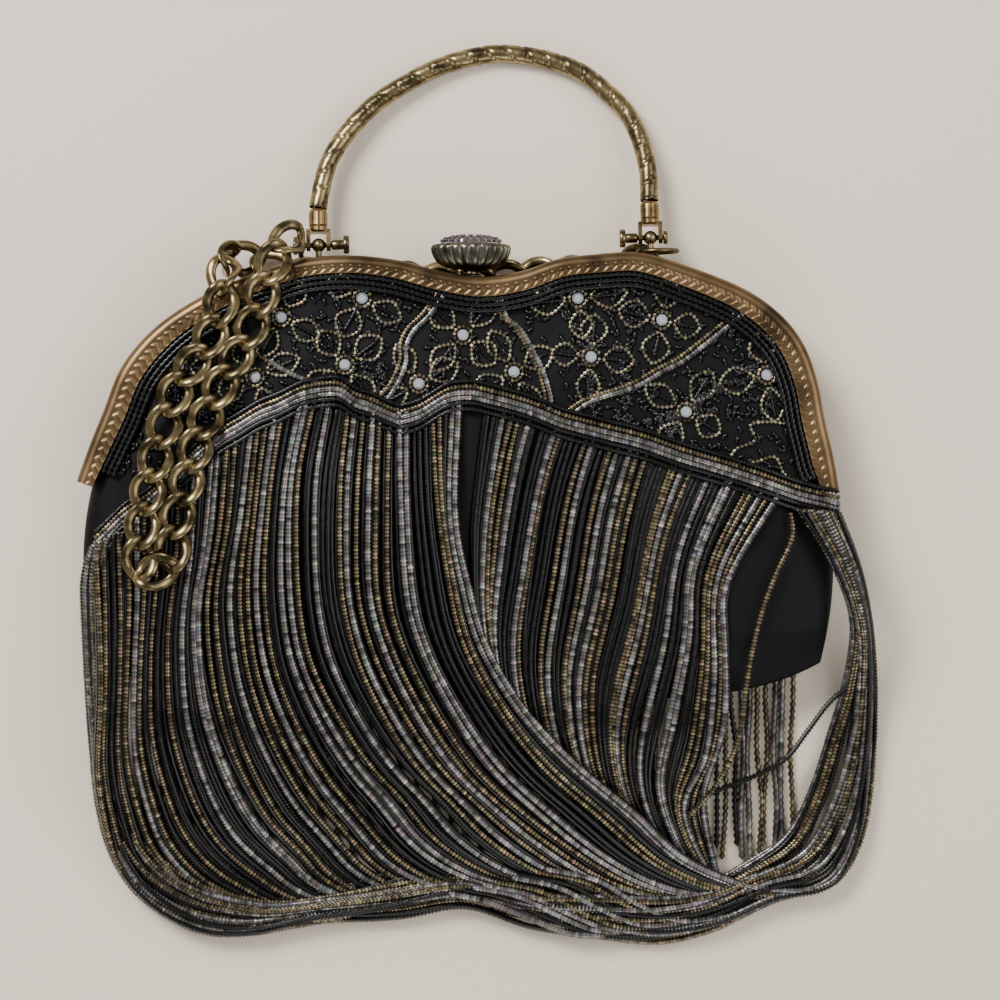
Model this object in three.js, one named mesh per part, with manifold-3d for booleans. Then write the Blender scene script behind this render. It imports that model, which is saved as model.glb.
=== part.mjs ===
// A beaded evening purse lying on its back: double-humped brass frame, arched handle, curb chain,
// satin pouch and a looped bead fringe. Millimetres, +Z up, +Y towards the handle, floor at z = 0.
import * as THREE from "three";
import { mergeVertices } from "three/addons/utils/BufferGeometryUtils.js";
import Module from "manifold-3d";

const wasm = await Module();
wasm.setup();

// Driving sizes of the frame and the pouch
const leftReach = 113.4; // from the dip of the frame to its left end
const rightReach = 101;
const humpHeight = 66; // from the frame's ends up to its humps
const hingeLevel = 4; // height of the frame's ends in the model
const fringeDrop = 132; // from the frame's ends down to the lowest loop
const bandWidth = 6.8; // width of the frame's face where it is widest
const frameSheet = 1.1;
const frameDepth = 7.55; // each half, front to back
const frameRound = 2.2; // rounded outer edge
const framePart = 0.3; // gap between the two halves
const frameBack = 6.8; // height of the frame's back face over the floor
const clearance = 0.3;
const clothWall = 1.5;
const tuck = 1.4; // how far the cloth goes under the frame's face
const pouchHalf = 7.9; // half the pouch's thickness
const pouchBottom = 0.455; // share of the fringe's drop that the pouch reaches
const hemFrom = 0.86; // share of the drop where the fringe has come down to the floor's pile
const leafLength = 3.4;
const leafWidth = 1.5;
const leafRise = 0.45;

// Driving sizes of the handle and what holds it
const handleSpan = 94; // between the two pivots
const handleRise = 54.6;
const handleTube = 5.2;
const ferruleTube = 5.3;
const ferruleLength = 6.4;
const ferruleStart = 3.7; // from the pivot up to the ferrule
const ballSize = 4;
const earThick = 1.1;
const earReach = 1.7;
const pinSize = 1.5;
const barrelSize = 2.8;
const barrelLength = 3.4;
const discSize = 5.2;
const discThick = 1.6;
const stemSize = 2;
const outerBar = 2.4; // the left pin's bare stretch, where the chain's ring hangs
const outerBarAt = ballSize / 2 + earThick + 0.6;
const ringLean = 0.4; // radians, how far that ring leans from upright
const pivotX = 1.2;
const pivotY = 73.5;
const pivotZ = 10.4;
const pivotLean = 1.3; // degrees, because the purse lies a little askew
const handleTilt = 8.2; // degrees, from level down to where the handle meets the floor

// Driving sizes of the clasp, the chain, the stones and the fringe
const claspWide = 22.8;
const claspDeep = 12.5;
const claspTall = 6.6;
const claspX = -2.6;
const fluteCount = 24;
const fluteDepth = 0.07;
const linkLong = 14.1;
const linkWide = 10.4;
const wireWide = 2.5;
const wireThick = 1.8;
const linkTwist = 42; // degrees
const linkMerge = 0.35; // how far neighbouring links run into each other
const ringLong = 12.6; // the plain rings that hold the chain at both pivots
const ringWide = 9.4;
const ringWire = 1.5;
const stoneSize = 3.6;
const stoneTall = 1.6;
const headWide = 4.4;
const headThick = 2.4;
const lockThick = 2.4;
const lockGap = 0.12; // share of a lock left free beside the next one
const crossRise = 2.7; // how far the left fringe lies over the right one
const hemHeight = 7.6; // top of the fringe where it lies on the floor
const backThick = 3;
const backSpan = 0.93; // share of the frame's width that the back strips take
const backGap = 0.45; // free on each side of a back strip
const neckTall = 1.3;
const neckTop = 2.2; // radii of the clasp's neck
const neckFoot = 2.5;

// Heights that follow
const midZ = frameBack + frameDepth + framePart / 2;
const frameFront = midZ + framePart / 2 + frameDepth;
const layerFloor = midZ + pouchHalf + clearance; // underside of what lies on the pouch

// Places are shares: x of the left or right reach, y of the hump height or, below the ends, of the drop
function spot(shareX, shareY) {
  const x = shareX * (shareX < 0 ? leftReach : rightReach);
  const y = hingeLevel + shareY * (shareY > 0 ? humpHeight : fringeDrop);
  return new THREE.Vector3(x, y, 0);
}

// Outer edge of the frame: x share, y share, face width as a share of bandWidth
const frameEdge = [
  [-0.998, 0.024, 0.72], [-0.968, 0.168, 0.86], [-0.933, 0.317, 0.95], [-0.889, 0.504, 0.98],
  [-0.82, 0.652, 0.96], [-0.728, 0.771, 0.88], [-0.593, 0.885, 0.8], [-0.444, 0.966, 0.74],
  [-0.321, 0.984, 0.74], [-0.198, 0.962, 0.78], [-0.099, 0.919, 0.82], [0, 0.894, 0.84],
  [0.111, 0.915, 0.82], [0.222, 0.97, 0.78], [0.333, 0.99, 0.78], [0.444, 0.996, 0.8],
  [0.582, 0.936, 0.86], [0.749, 0.83, 0.94], [0.846, 0.716, 1], [0.901, 0.601, 1],
  [0.937, 0.453, 0.98], [0.959, 0.283, 0.98], [0.984, 0.113, 0.95], [0.998, -0.007, 0.72],
];

// Lower border of the beaded yoke, from the left side to the right: x share, y share
const borderLine = [
  [-0.99, -0.13], [-0.951, -0.115], [-0.889, -0.066], [-0.827, -0.03], [-0.741, 0.071],
  [-0.642, 0.211], [-0.543, 0.313], [-0.444, 0.389], [-0.346, 0.405], [-0.272, 0.345],
  [-0.198, 0.292], [-0.123, 0.334], [-0.062, 0.388], [0, 0.385], [0.111, 0.345],
  [0.222, 0.283], [0.388, 0.215], [0.554, 0.135], [0.721, 0.058], [0.887, -0.015], [1, -0.04],
];

// Guide strands of the left fringe, each with its order in the family: x share, y share
const leftGuides = [
  { at: 0, run: [[-0.963, -0.1], [-0.965, -0.325], [-0.973, -0.495], [-0.978, -0.62],
    [-0.955, -0.728], [-0.9, -0.83]] },
  { at: 0.35, run: [[-0.605, 0.241], [-0.625, -0.071], [-0.65, -0.24], [-0.637, -0.41],
    [-0.59, -0.62], [-0.52, -0.86]] },
  { at: 0.57, run: [[-0.407, 0.385], [-0.444, 0.071], [-0.449, -0.134], [-0.42, -0.34],
    [-0.31, -0.58], [-0.1, -0.85]] },
  { at: 0.78, run: [[-0.198, 0.292], [-0.21, -0.028], [-0.202, -0.219], [-0.135, -0.44],
    [0.06, -0.65], [0.34, -0.86]] },
  { at: 1, run: [[-0.025, 0.385], [-0.055, -0.028], [-0.03, -0.219], [0.1, -0.44],
    [0.36, -0.65], [0.66, -0.84]] },
];

// Guide strands of the right fringe, which goes under the left one
const rightGuides = [
  { at: 0, run: [[0.05, 0.36], [0.03, 0.198], [0.04, -0.028], [0.05, -0.2]] },
  { at: 0.33, run: [[0.305, 0.245], [0.263, -0.028], [0.24, -0.22], [0.2, -0.43]] },
  { at: 0.66, run: [[0.582, 0.12], [0.513, -0.113], [0.465, -0.35], [0.39, -0.59]] },
  { at: 1, run: [[0.8, 0.02], [0.71, -0.155], [0.665, -0.4], [0.59, -0.68]] },
];

// The bundle of loops that sweeps along the bottom and up the right side:
// x share, y share, half width in mm, height of its middle as a share of the layer's height
const bundleLine = [
  [-0.945, -0.68, 6, 0.3], [-0.868, -0.84, 9, 0.22], [-0.7, -0.905, 9, 0.2], [-0.444, -0.895, 8, 0.2],
  [-0.198, -0.875, 8, 0.2], [0.055, -0.87, 8, 0.22], [0.333, -0.885, 11, 0.24],
  [0.554, -0.89, 12, 0.26], [0.776, -0.835, 11, 0.28], [0.97, -0.73, 11, 0.3],
  [1.045, -0.55, 10, 0.36], [1.06, -0.37, 9, 0.46], [1.03, -0.2, 7, 0.7], [0.985, -0.06, 4, 1.06],
];

// Centres of the set stones on the yoke: x share, y share
const stoneSpots = [
  [-0.745, 0.51], [-0.556, 0.465], [-0.491, 0.72], [-0.333, 0.53], [-0.291, 0.79],
  [-0.151, 0.45], [-0.042, 0.644], [0.094, 0.487], [0.272, 0.79], [0.308, 0.55],
  [0.505, 0.707], [0.571, 0.317], [0.79, 0.474],
];

// Arch of the handle: share of half the span, share of the rise
const handleArch = [
  [-1, 0.16], [-0.976, 0.305], [-0.926, 0.447], [-0.815, 0.595], [-0.646, 0.745], [-0.473, 0.842],
  [-0.247, 0.937], [-0.021, 0.989], [0.122, 1], [0.372, 0.969], [0.598, 0.895], [0.762, 0.779],
  [0.89, 0.653], [0.961, 0.505], [0.997, 0.355], [1, 0.16],
];

// Route of the chain: from the right pivot's ring behind the frame, over its left hump, down the
// front, round the lowest link and back up to the left pivot's ring. Chosen points x, y, z.
const chainRoute = [
  [48.4, 70.1, 5.1], [45.2, 67.2, 3.9], [40, 65.6, 3.1], [30, 65, 2.8], [15, 64.4, 2.7], [0, 63, 2.7],
  [-15, 63, 2.7], [-30, 63.6, 2.7], [-45, 63.8, 2.8], [-57, 65.6, 3.2], [-66, 68.6, 6.5],
  [-71.2, 69.2, 14], [-71.8, 66, 22.6], [-71.5, 58, 26.3], [-74, 47.5, 25.9], [-79, 39, 25.7],
  [-84.8, 32, 25.7], [-87.5, 22, 26.2], [-90.2, 12, 27.9], [-92.4, 3, 28.3], [-93.8, -8, 28.3],
  [-95.4, -18, 28.3], [-91, -25.4, 28.3], [-85.6, -19, 28.3], [-85.8, -10, 28.3],
  [-83.4, -1, 28.3], [-80.8, 8, 28.3], [-78.8, 17, 27.6], [-75, 26.5, 25.9], [-71, 35.5, 25.7],
  [-65.8, 44, 25.7], [-62.2, 52.5, 25.9], [-59.9, 61, 26.4], [-57.3, 68.4, 26.2], [-53.8, 73.6, 22.4],
  [-50.6, 75.9, 17.9],
];

function finish(colour, roughness, metalness) {
  return new THREE.MeshStandardMaterial({ color: colour, roughness, metalness, flatShading: true });
}
const brassFinish = finish("#a27c4d", 0.38, 0.9);
const oldBrassFinish = finish("#7d6a45", 0.42, 0.9);
const satinFinish = finish("#0b0b0e", 0.35, 0);
const beadFinish = finish("#5d584f", 0.35, 0.3);
const darkBeadFinish = finish("#2c2a29", 0.35, 0.3);
const stoneFinish = finish("#dfe6ee", 0.08, 0.1);
const pewterFinish = finish("#6a675c", 0.4, 0.9);

// A closed body from rings of points: each ring meets the next, and both ends are capped
function loft(rings, closed = false) {
  const around = rings[0].length;
  const points = [];
  const faces = [];
  rings.forEach((ring) => ring.forEach((p) => points.push(p.x, p.y, p.z)));
  const last = closed ? rings.length : rings.length - 1;
  for (let i = 0; i < last; i++) {
    const low = i * around;
    const high = ((i + 1) % rings.length) * around;
    for (let j = 0; j < around; j++) {
      const next = (j + 1) % around;
      faces.push(low + j, low + next, high + next, low + j, high + next, high + j);
    }
  }
  if (!closed) {
    const end = (rings.length - 1) * around;
    capOf(rings[0]).forEach(([a, b, c]) => faces.push(c, b, a));
    capOf(rings[rings.length - 1]).forEach(([a, b, c]) => faces.push(end + a, end + b, end + c));
  }
  return facingOut(points, faces);
}

// Triangles of a ring's flat cap, worked out in the ring's own plane
function capOf(ring) {
  const normal = new THREE.Vector3();
  ring.forEach((p, i) => normal.add(p.clone().cross(ring[(i + 1) % ring.length])));
  normal.normalize();
  const across = ring[1].clone().sub(ring[0]).normalize();
  const up = normal.clone().cross(across);
  const flat = ring.map((p) => new THREE.Vector2(p.dot(across), p.dot(up)));
  return THREE.ShapeUtils.triangulateShape(flat, []);
}

function facingOut(points, faces) {
  let volume = 0;
  const at = (i) => new THREE.Vector3(points[3 * i], points[3 * i + 1], points[3 * i + 2]);
  for (let i = 0; i < faces.length; i += 3)
    volume += at(faces[i]).dot(at(faces[i + 1]).cross(at(faces[i + 2])));
  const turned = volume < 0 ? faces.map((f, i) => faces[i - (i % 3) + (2 - (i % 3))]) : faces;
  const geometry = new THREE.BufferGeometry();
  geometry.setAttribute("position", new THREE.Float32BufferAttribute(points, 3));
  return geometry.setIndex(turned);
}

function solidOf(geometry) {
  const bare = geometry.clone();
  bare.deleteAttribute("normal");
  bare.deleteAttribute("uv");
  const merged = mergeVertices(bare, 1e-4);
  return new wasm.Manifold(
    new wasm.Mesh({
      numProp: 3,
      vertProperties: new Float32Array(merged.attributes.position.array),
      triVerts: new Uint32Array(merged.index.array),
    }),
  );
}

function geometryOf(solid) {
  const mesh = solid.getMesh();
  const geometry = new THREE.BufferGeometry();
  geometry.setAttribute("position", new THREE.BufferAttribute(mesh.vertProperties, 3));
  return geometry.setIndex(new THREE.BufferAttribute(mesh.triVerts, 1));
}

// One body out of several geometries
function fuse(geometries) {
  return geometryOf(geometries.map(solidOf).reduce((whole, piece) => whole.add(piece)));
}

function named(name, geometry, material) {
  const mesh = new THREE.Mesh(geometry, material);
  mesh.name = name;
  return mesh;
}

// A cylinder along X between two stations, in the pivot's own frame
function alongX(radius, from, to, sides = 10) {
  const bar = new THREE.CylinderGeometry(radius, radius, to - from, sides);
  return bar.rotateZ(Math.PI / 2).translate((from + to) / 2, 0, 0);
}

const curveOf = (points) => new THREE.CatmullRomCurve3(points, false, "centripetal");
const mix = (a, b, t) => a + (b - a) * t;
const smooth = (low, high, v) => THREE.MathUtils.smoothstep(v, low, high);

// The value of a table's column at a share of its length
function column(table, index, t) {
  const place = THREE.MathUtils.clamp(t, 0, 1) * (table.length - 1);
  const row = Math.min(Math.floor(place), table.length - 2);
  return mix(table[row][index], table[row + 1][index], place - row);
}

const edgeCurve = curveOf(frameEdge.map(([x, y]) => spot(x, y)));

// A place on the frame: t runs over the rows of its table, depth goes inwards from the outer edge
function onFrame(t, depth, z) {
  const tangent = edgeCurve.getTangent(t);
  const p = edgeCurve.getPoint(t);
  return new THREE.Vector3(p.x + tangent.y * depth, p.y - tangent.x * depth, z);
}

const faceWidth = (t) => bandWidth * column(frameEdge, 2, t);

// Half of the frame: an outer wall and a face, bent from one sheet. side is 1 in front, -1 behind
function frameHalf(side) {
  const stations = 30;
  const seam = midZ + (side * framePart) / 2;
  const face = seam + side * frameDepth;
  const rings = [];
  for (let i = 0; i <= stations; i++) {
    const t = i / stations;
    const width = faceWidth(t);
    rings.push([
      onFrame(t, 0, seam),
      onFrame(t, 0, face - side * frameRound),
      onFrame(t, frameRound * 0.3, face - side * frameRound * 0.3),
      onFrame(t, frameRound, face),
      onFrame(t, width, face),
      onFrame(t, width, face - side * frameSheet),
      onFrame(t, frameSheet, face - side * frameSheet),
      onFrame(t, frameSheet, seam),
    ]);
  }
  return loft(rings);
}

// A raised leaf, stamped into the frame's face: a low four-sided point over a slanted lozenge
function leaf(t, slant) {
  const width = faceWidth(t);
  const middle = onFrame(t, (frameRound + width) / 2 + 0.1, frameFront);
  const tangent = edgeCurve.getTangent(t);
  const turn = Math.atan2(tangent.y, tangent.x) + slant;
  const room = Math.min(leafLength, (width - frameRound) * 0.9);
  const long = new THREE.Vector3(Math.cos(turn), Math.sin(turn), 0).multiplyScalar(room / 2);
  const wide = new THREE.Vector3(-Math.sin(turn), Math.cos(turn), 0).multiplyScalar(leafWidth / 2);
  const sunk = middle.clone().setZ(frameFront - frameSheet / 2);
  const corners = [
    sunk.clone().add(long), sunk.clone().add(wide),
    sunk.clone().sub(long), sunk.clone().sub(wide), middle.clone().setZ(frameFront + leafRise),
  ];
  const points = corners.flatMap((p) => [p.x, p.y, p.z]);
  return facingOut(points, [0, 1, 4, 1, 2, 4, 2, 3, 4, 3, 0, 4, 0, 2, 1, 0, 3, 2]);
}

function frameFrontGeometry() {
  const length = edgeCurve.getLength();
  const count = Math.round((length * 0.94) / (leafLength * 1.32));
  const pieces = [frameHalf(1)];
  for (let i = 0; i < count; i++) {
    const t = edgeCurve.getUtoTmapping(mix(0.03, 0.97, i / (count - 1)));
    pieces.push(leaf(t, (i % 2 ? 1 : -1) * 0.85));
  }
  return fuse(pieces);
}

// A post inside the frame's end that joins its halves, where the real hinge is hidden
function hingePost(t) {
  const low = frameBack + frameSheet + clearance;
  const high = frameFront - frameSheet - clearance;
  const post = new THREE.CylinderGeometry(0.9, 0.9, high - low, 10).rotateX(Math.PI / 2);
  const p = onFrame(t, frameSheet + clearance + 1, (low + high) / 2);
  return post.translate(p.x, p.y, p.z);
}

// The pouch: rings go round front and back, from the bottom to the mouth that the frame holds.
// Between them a side bulges along a curve through bottom, waist and mouth.
function pouchPoint(u, side, v, inset) {
  const t = mix(0.012, 0.988, (1 + u) / 2);
  const share = u * (1 - inset / rightReach);
  const edge = Math.abs(u) ** 8;
  const mouth = onFrame(t, faceWidth(t) - tuck + inset * (1 - edge), 0);
  mouth.x -= Math.sign(u) * inset * edge;
  const waist = spot(share * 1.02 + 0.02 * (1 - u * u), -0.15 - 0.02 * u * u);
  const bottom = spot(share * 0.93, -pouchBottom + 0.13 * Math.abs(u) ** 5);
  bottom.y += inset;
  const x = mix(mix(bottom.x, waist.x, v), mix(waist.x, mouth.x, v), v);
  const y = mix(mix(bottom.y, waist.y, v), mix(waist.y, mouth.y, v), v);
  const held = frameDepth - frameSheet - clearance + framePart / 2;
  const full = mix(0.42, 1, smooth(0, 0.22, v)) * mix(pouchHalf, held, smooth(0.8, 0.965, v));
  return new THREE.Vector3(x, y, midZ + side * (full - inset) * (1 - u ** 6) ** 0.5);
}

function pouchShell() {
  const columns = 12;
  const levels = [0, 0.08, 0.22, 0.5, 0.78, 0.92, 1];
  const places = Array.from({ length: columns + 1 }, (_, i) => Math.sin((i / columns - 0.5) * Math.PI));
  const ring = (v, inset) => [
    ...places.map((u) => pouchPoint(u, 1, v, inset)),
    ...places.slice(1, -1).reverse().map((u) => pouchPoint(u, -1, v, inset)),
  ];
  const outer = levels.map((v) => ring(v, 0));
  const inner = levels.map((v) => ring(v, clothWall)).reverse();
  return loft([...outer, ...inner]);
}

// Guides of a family blended at an order k, as a curve
function strand(guides, k) {
  const next = Math.max(1, guides.findIndex((g) => g.at >= k));
  const [a, b] = [guides[next - 1], guides[next]];
  const part = (k - a.at) / (b.at - a.at);
  const run = a.run.map(([x, y], i) => spot(mix(x, b.run[i][0], part), mix(y, b.run[i][1], part)));
  return curveOf(run);
}

// Underside of the fringe: on the pouch, then down to the pile of loops on the floor
function underside(y, lift) {
  const held = smooth(spot(0, -hemFrom).y, spot(0, -pouchBottom).y, y);
  return mix(hemHeight - lockThick, layerFloor + lift, held);
}

// A lock: the strands between two orders of a family, as a flat strip with rounded edges
function lock(guides, from, to, liftAt) {
  const gap = (to - from) * lockGap;
  const sides = [strand(guides, from + gap), strand(guides, to - gap)];
  const stations = 7;
  const rings = [];
  for (let i = 0; i <= stations; i++) {
    const [a, b] = sides.map((s) => s.getPoint(i / stations));
    const low = Math.max(underside(a.y, liftAt(a, from)), underside(b.y, liftAt(b, from)));
    const at = (share, z) => new THREE.Vector3(mix(a.x, b.x, share), mix(a.y, b.y, share), z);
    rings.push([
      at(0, low + lockThick * 0.5), at(0.14, low), at(0.86, low),
      at(1, low + lockThick * 0.5), at(0.86, low + lockThick), at(0.14, low + lockThick),
    ]);
  }
  return loft(rings);
}

// The corded head along the yoke's border that the locks hang from
function head(from, to, stations) {
  const border = curveOf(borderLine.map(([x, y]) => spot(x, y)));
  const rings = [];
  for (let i = 0; i <= stations; i++) {
    const t = mix(from, to, i / stations);
    const p = border.getPoint(t);
    const tangent = border.getTangent(t);
    const at = (w, z) => new THREE.Vector3(p.x - tangent.y * w, p.y + tangent.x * w, layerFloor + z);
    rings.push([
      at(-headWide / 2, 0), at(headWide / 2, 0), at(headWide / 2, headThick * 0.6),
      at(0, headThick), at(-headWide / 2, headThick * 0.6),
    ]);
  }
  return loft(rings);
}

function bundle() {
  const middle = curveOf(bundleLine.map(([x, y]) => spot(x, y)));
  const stations = 22;
  const rings = [];
  for (let i = 0; i <= stations; i++) {
    const t = i / stations;
    const p = middle.getPoint(t);
    const tangent = middle.getTangent(t);
    const half = column(bundleLine, 2, t);
    const centre = column(bundleLine, 3, t) * layerFloor;
    const thick = mix(3.4, 1.7, smooth(0.78, 1, t));
    const at = (w, z) =>
      new THREE.Vector3(p.x - tangent.y * w * half, p.y + tangent.x * w * half, centre + z * thick);
    rings.push([at(-1, 0), at(-0.6, -1), at(0.6, -1), at(1, 0), at(0.6, 1), at(-0.6, 1)]);
  }
  return loft(rings);
}

function leftFringe() {
  const locks = 10;
  const lift = (p, k) => crossRise * smooth(0.4, 0.62, k) * (1 - smooth(-14, 24, p.y));
  const pieces = [head(0.02, 0.618, 14), bundle()];
  for (let i = 0; i < locks; i++) pieces.push(lock(leftGuides, i / locks, (i + 1) / locks, lift));
  return fuse(pieces);
}

function rightFringe() {
  const locks = 7;
  const pieces = [head(0.642, 0.985, 8)];
  for (let i = 0; i < locks; i++) pieces.push(lock(rightGuides, i / locks, (i + 1) / locks, () => 0));
  return fuse(pieces);
}

// Back fringe: straight strips from a head that stands up to the pouch's back, where it is sewn on
function backFringe() {
  const strips = 12;
  const headFoot = 2 * clearance;
  const headTall = midZ - pouchHalf - clearance - headFoot;
  const head = new THREE.BoxGeometry(backSpan * (leftReach + rightReach), headWide, headTall);
  head.translate((rightReach - leftReach) / 2, 0, headFoot + headTall / 2);
  const pieces = [head];
  for (let i = 0; i < strips; i++) {
    const place = (i + 0.5) / strips;
    const share = mix(-backSpan, backSpan, place);
    const half = (backSpan * (leftReach + rightReach)) / strips / 2 - backGap;
    const low = mix(0.765, 0.6, Math.abs(2 * place - 1) ** 3);
    const rings = [0, 0.4, 1].map((v) => {
      const p = spot(share * mix(1, 1.03, Math.sin(v * 2.6)), -low * v - 0.02);
      const thin = mix(1, 0.75, v) * backThick;
      const at = (w, z) => new THREE.Vector3(p.x + w * half, p.y, z + clearance / 2);
      return [at(-0.8, 0), at(0.8, 0), at(1, thin / 2), at(0.8, thin), at(-0.8, thin), at(-1, thin / 2)];
    });
    pieces.push(loft(rings));
  }
  return fuse(pieces);
}

// A flat-backed cut stone: an eight-sided table over sixteen slanted facets
function stone() {
  const ring = (radius, z, turn) =>
    Array.from({ length: 8 }, (_, i) => {
      const a = ((i + turn) * Math.PI) / 4;
      return new THREE.Vector3(radius * Math.cos(a), radius * Math.sin(a), z);
    });
  const r = stoneSize / 2;
  return loft([ring(r, 0, 0.5), ring(r * 0.6, stoneTall, 0)]);
}

// The pivots' own frame: X runs through both pivots
const pivots = new THREE.Group();
pivots.position.set(pivotX, pivotY, pivotZ);
pivots.rotation.z = THREE.MathUtils.degToRad(pivotLean);
pivots.updateMatrix();

// A link of the curb chain: an oval whose plane twists from one end to the other
function link() {
  const steps = 10;
  const rings = [];
  const a = (linkLong - wireWide) / 2;
  const b = (linkWide - wireWide) / 2;
  const twist = THREE.MathUtils.degToRad(linkTwist);
  const centre = (t) => {
    const lean = twist * Math.cos(t);
    return new THREE.Vector3(
      a * Math.cos(t), b * Math.sin(t) * Math.cos(lean), b * Math.sin(t) * Math.sin(lean));
  };
  for (let i = 0; i < steps; i++) {
    const t = ((i + 0.5) * 2 * Math.PI) / steps;
    const p = centre(t);
    const along = centre(t + 0.01).sub(centre(t - 0.01)).normalize();
    const lean = twist * Math.cos(t);
    const normal = new THREE.Vector3(0, -Math.sin(lean), Math.cos(lean));
    const out = along.clone().cross(normal).normalize();
    const ring = Array.from({ length: 5 }, (_, j) => {
      const turn = ((j + 0.5) * 2 * Math.PI) / 5;
      return p.clone()
        .addScaledVector(out, (wireWide / 2) * Math.cos(turn))
        .addScaledVector(normal, (wireThick / 2) * Math.sin(turn));
    });
    rings.push(ring);
  }
  return loft(rings, true);
}

// A plain oval ring in its own XY plane, long along X
function plainRing() {
  const rings = [];
  for (let i = 0; i < 10; i++) {
    const t = ((i + 0.5) * 2 * Math.PI) / 10;
    const across = ringWire / 2;
    rings.push(
      Array.from({ length: 5 }, (_, j) => {
        const turn = (j * 2 * Math.PI) / 5;
        const out = across * Math.cos(turn);
        const [x, y] = [ringLong / 2 - across + out, ringWide / 2 - across + out];
        return new THREE.Vector3(x * Math.cos(t), y * Math.sin(t), across * Math.sin(turn));
      }),
    );
  }
  return loft(rings, true);
}

// The rings at the pivots: the right one stands round its stem, the left one round its outer bar
function pivotRings() {
  const right = plainRing().rotateX(Math.PI / 2);
  right.translate(handleSpan / 2 + 2, -(ballSize / 2 + clearance + ringWire), -1.5);
  const reach = ringLong / 2 - ringWire - barrelSize / 2 - clearance;
  const left = plainRing().rotateY(-Math.PI / 2).translate(0, 0, reach);
  left.rotateX(-ringLean).translate(-(handleSpan / 2 + outerBarAt + outerBar / 2), 0, 0);
  return [right, left].map((ring) => ring.applyMatrix4(pivots.matrix));
}

// Joints between links, walked along the route in equal straight steps
function walk(samples, pitch) {
  const joints = [samples[0]];
  samples.forEach((p) => {
    if (p.distanceTo(joints[joints.length - 1]) >= pitch) joints.push(p);
  });
  const left = samples[samples.length - 1].distanceTo(joints[joints.length - 1]);
  return { joints, left };
}

// Links along the route from the right pivot's ring to the left one's, at the pitch that leaves
// the least of the route over at its end
function chain() {
  const route = curveOf(chainRoute.map(([x, y, z]) => new THREE.Vector3(x, y, z)));
  const samples = route.getPoints(9000);
  const pitch = linkLong - 2 * wireWide + linkMerge;
  let best = walk(samples, pitch);
  for (let more = 0; more < linkMerge; more += 0.01) {
    const next = walk(samples, pitch + more);
    if (next.left < best.left) best = next;
  }
  const places = best.joints;
  const pieces = pivotRings();
  let side = new THREE.Vector3(0, 1, 0);
  for (let i = 0; i < places.length - 1; i++) {
    const along = places[i + 1].clone().sub(places[i]).normalize();
    side = side.clone().addScaledVector(along, -side.dot(along)).normalize();
    const flat = new THREE.Vector3(0, 0, 1).cross(along);
    if (flat.length() > 0.35) {
      flat.normalize();
      if (flat.dot(side) < 0) flat.negate();
      side.lerp(flat, 0.7).normalize();
    }
    const up = along.clone().cross(side).normalize();
    const middle = places[i].clone().add(places[i + 1]).multiplyScalar(0.5);
    const place = new THREE.Matrix4().makeBasis(along, up.clone().cross(along), up);
    pieces.push(link().applyMatrix4(place.setPosition(middle)));
  }
  return fuse(pieces);
}

// What the frame carries at each end of the handle: stem, ball, pin, barrel and discs in one casting
function lug(side) {
  const r = ballSize / 2;
  const place = (side * handleSpan) / 2;
  const inward = -side;
  const earOut = outerBarAt;
  const bars = [
    [pinSize / 2, -earOut, earOut],
    [barrelSize / 2, earOut, earOut + barrelLength],
    [discSize / 2, earOut + barrelLength - 0.1, earOut + barrelLength + discThick],
    [discSize * 0.36, -earOut - 1.1, -earOut],
  ];
  if (side < 0) {
    bars.pop();
    bars.push([barrelSize / 2, -earOut - outerBar, -earOut]);
    bars.push([discSize / 2, -earOut - outerBar - 1, -earOut - outerBar]);
  }
  const pieces = bars.map(([radius, from, to]) => {
    const ends = [inward * from, inward * to].sort((p, q) => p - q);
    return alongX(radius, ends[0] - 0.02, ends[1] + 0.02);
  });
  pieces.push(new THREE.SphereGeometry(r, 10, 6));
  const reach = stemReach(side);
  const stem = new THREE.CylinderGeometry(stemSize / 2, stemSize / 2, reach, 10);
  pieces.push(stem.translate(0, -reach / 2, 0));
  return fuse(pieces).translate(place, 0, 0);
}

// From the pivot down to the frame's outer edge, under the ball
function stemReach(side) {
  const lean = THREE.MathUtils.degToRad(pivotLean);
  const x = pivotX + ((side * handleSpan) / 2) * Math.cos(lean);
  const y = pivotY + ((side * handleSpan) / 2) * Math.sin(lean);
  let best = edgeCurve.getPoint(0);
  for (let i = 0; i <= 600; i++) {
    const p = edgeCurve.getPoint(i / 600);
    if (Math.abs(p.x - x) < Math.abs(best.x - x)) best = p;
  }
  return y - best.y - clearance;
}

// A ferrule with two ears that straddle the ball, in the handle's own frame
function ferrule(side) {
  const r = ballSize / 2;
  const body = new THREE.CylinderGeometry(ferruleTube / 2, ferruleTube / 2, ferruleLength, 12);
  const pieces = [body.translate(0, ferruleStart + ferruleLength / 2, 0)];
  const middle = r + clearance + earThick / 2;
  [-1, 1].forEach((to) => {
    const tall = ferruleStart + 0.6;
    const plate = new THREE.BoxGeometry(earThick, tall, earReach * 2).translate(0, tall / 2, 0);
    const round = alongX(earReach, -earThick / 2, earThick / 2, 10);
    pieces.push(fuse([plate, round]).translate(to * middle, 0, 0));
  });
  const bridge = new THREE.BoxGeometry(2 * middle + earThick, 1, earReach * 2);
  pieces.push(bridge.translate(0, ferruleStart + 0.5, 0));
  const bore = solidOf(alongX(pinSize / 2 + clearance, -6, 6, 8));
  return geometryOf(solidOf(fuse(pieces)).subtract(bore)).translate((side * handleSpan) / 2, 0, 0);
}

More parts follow.
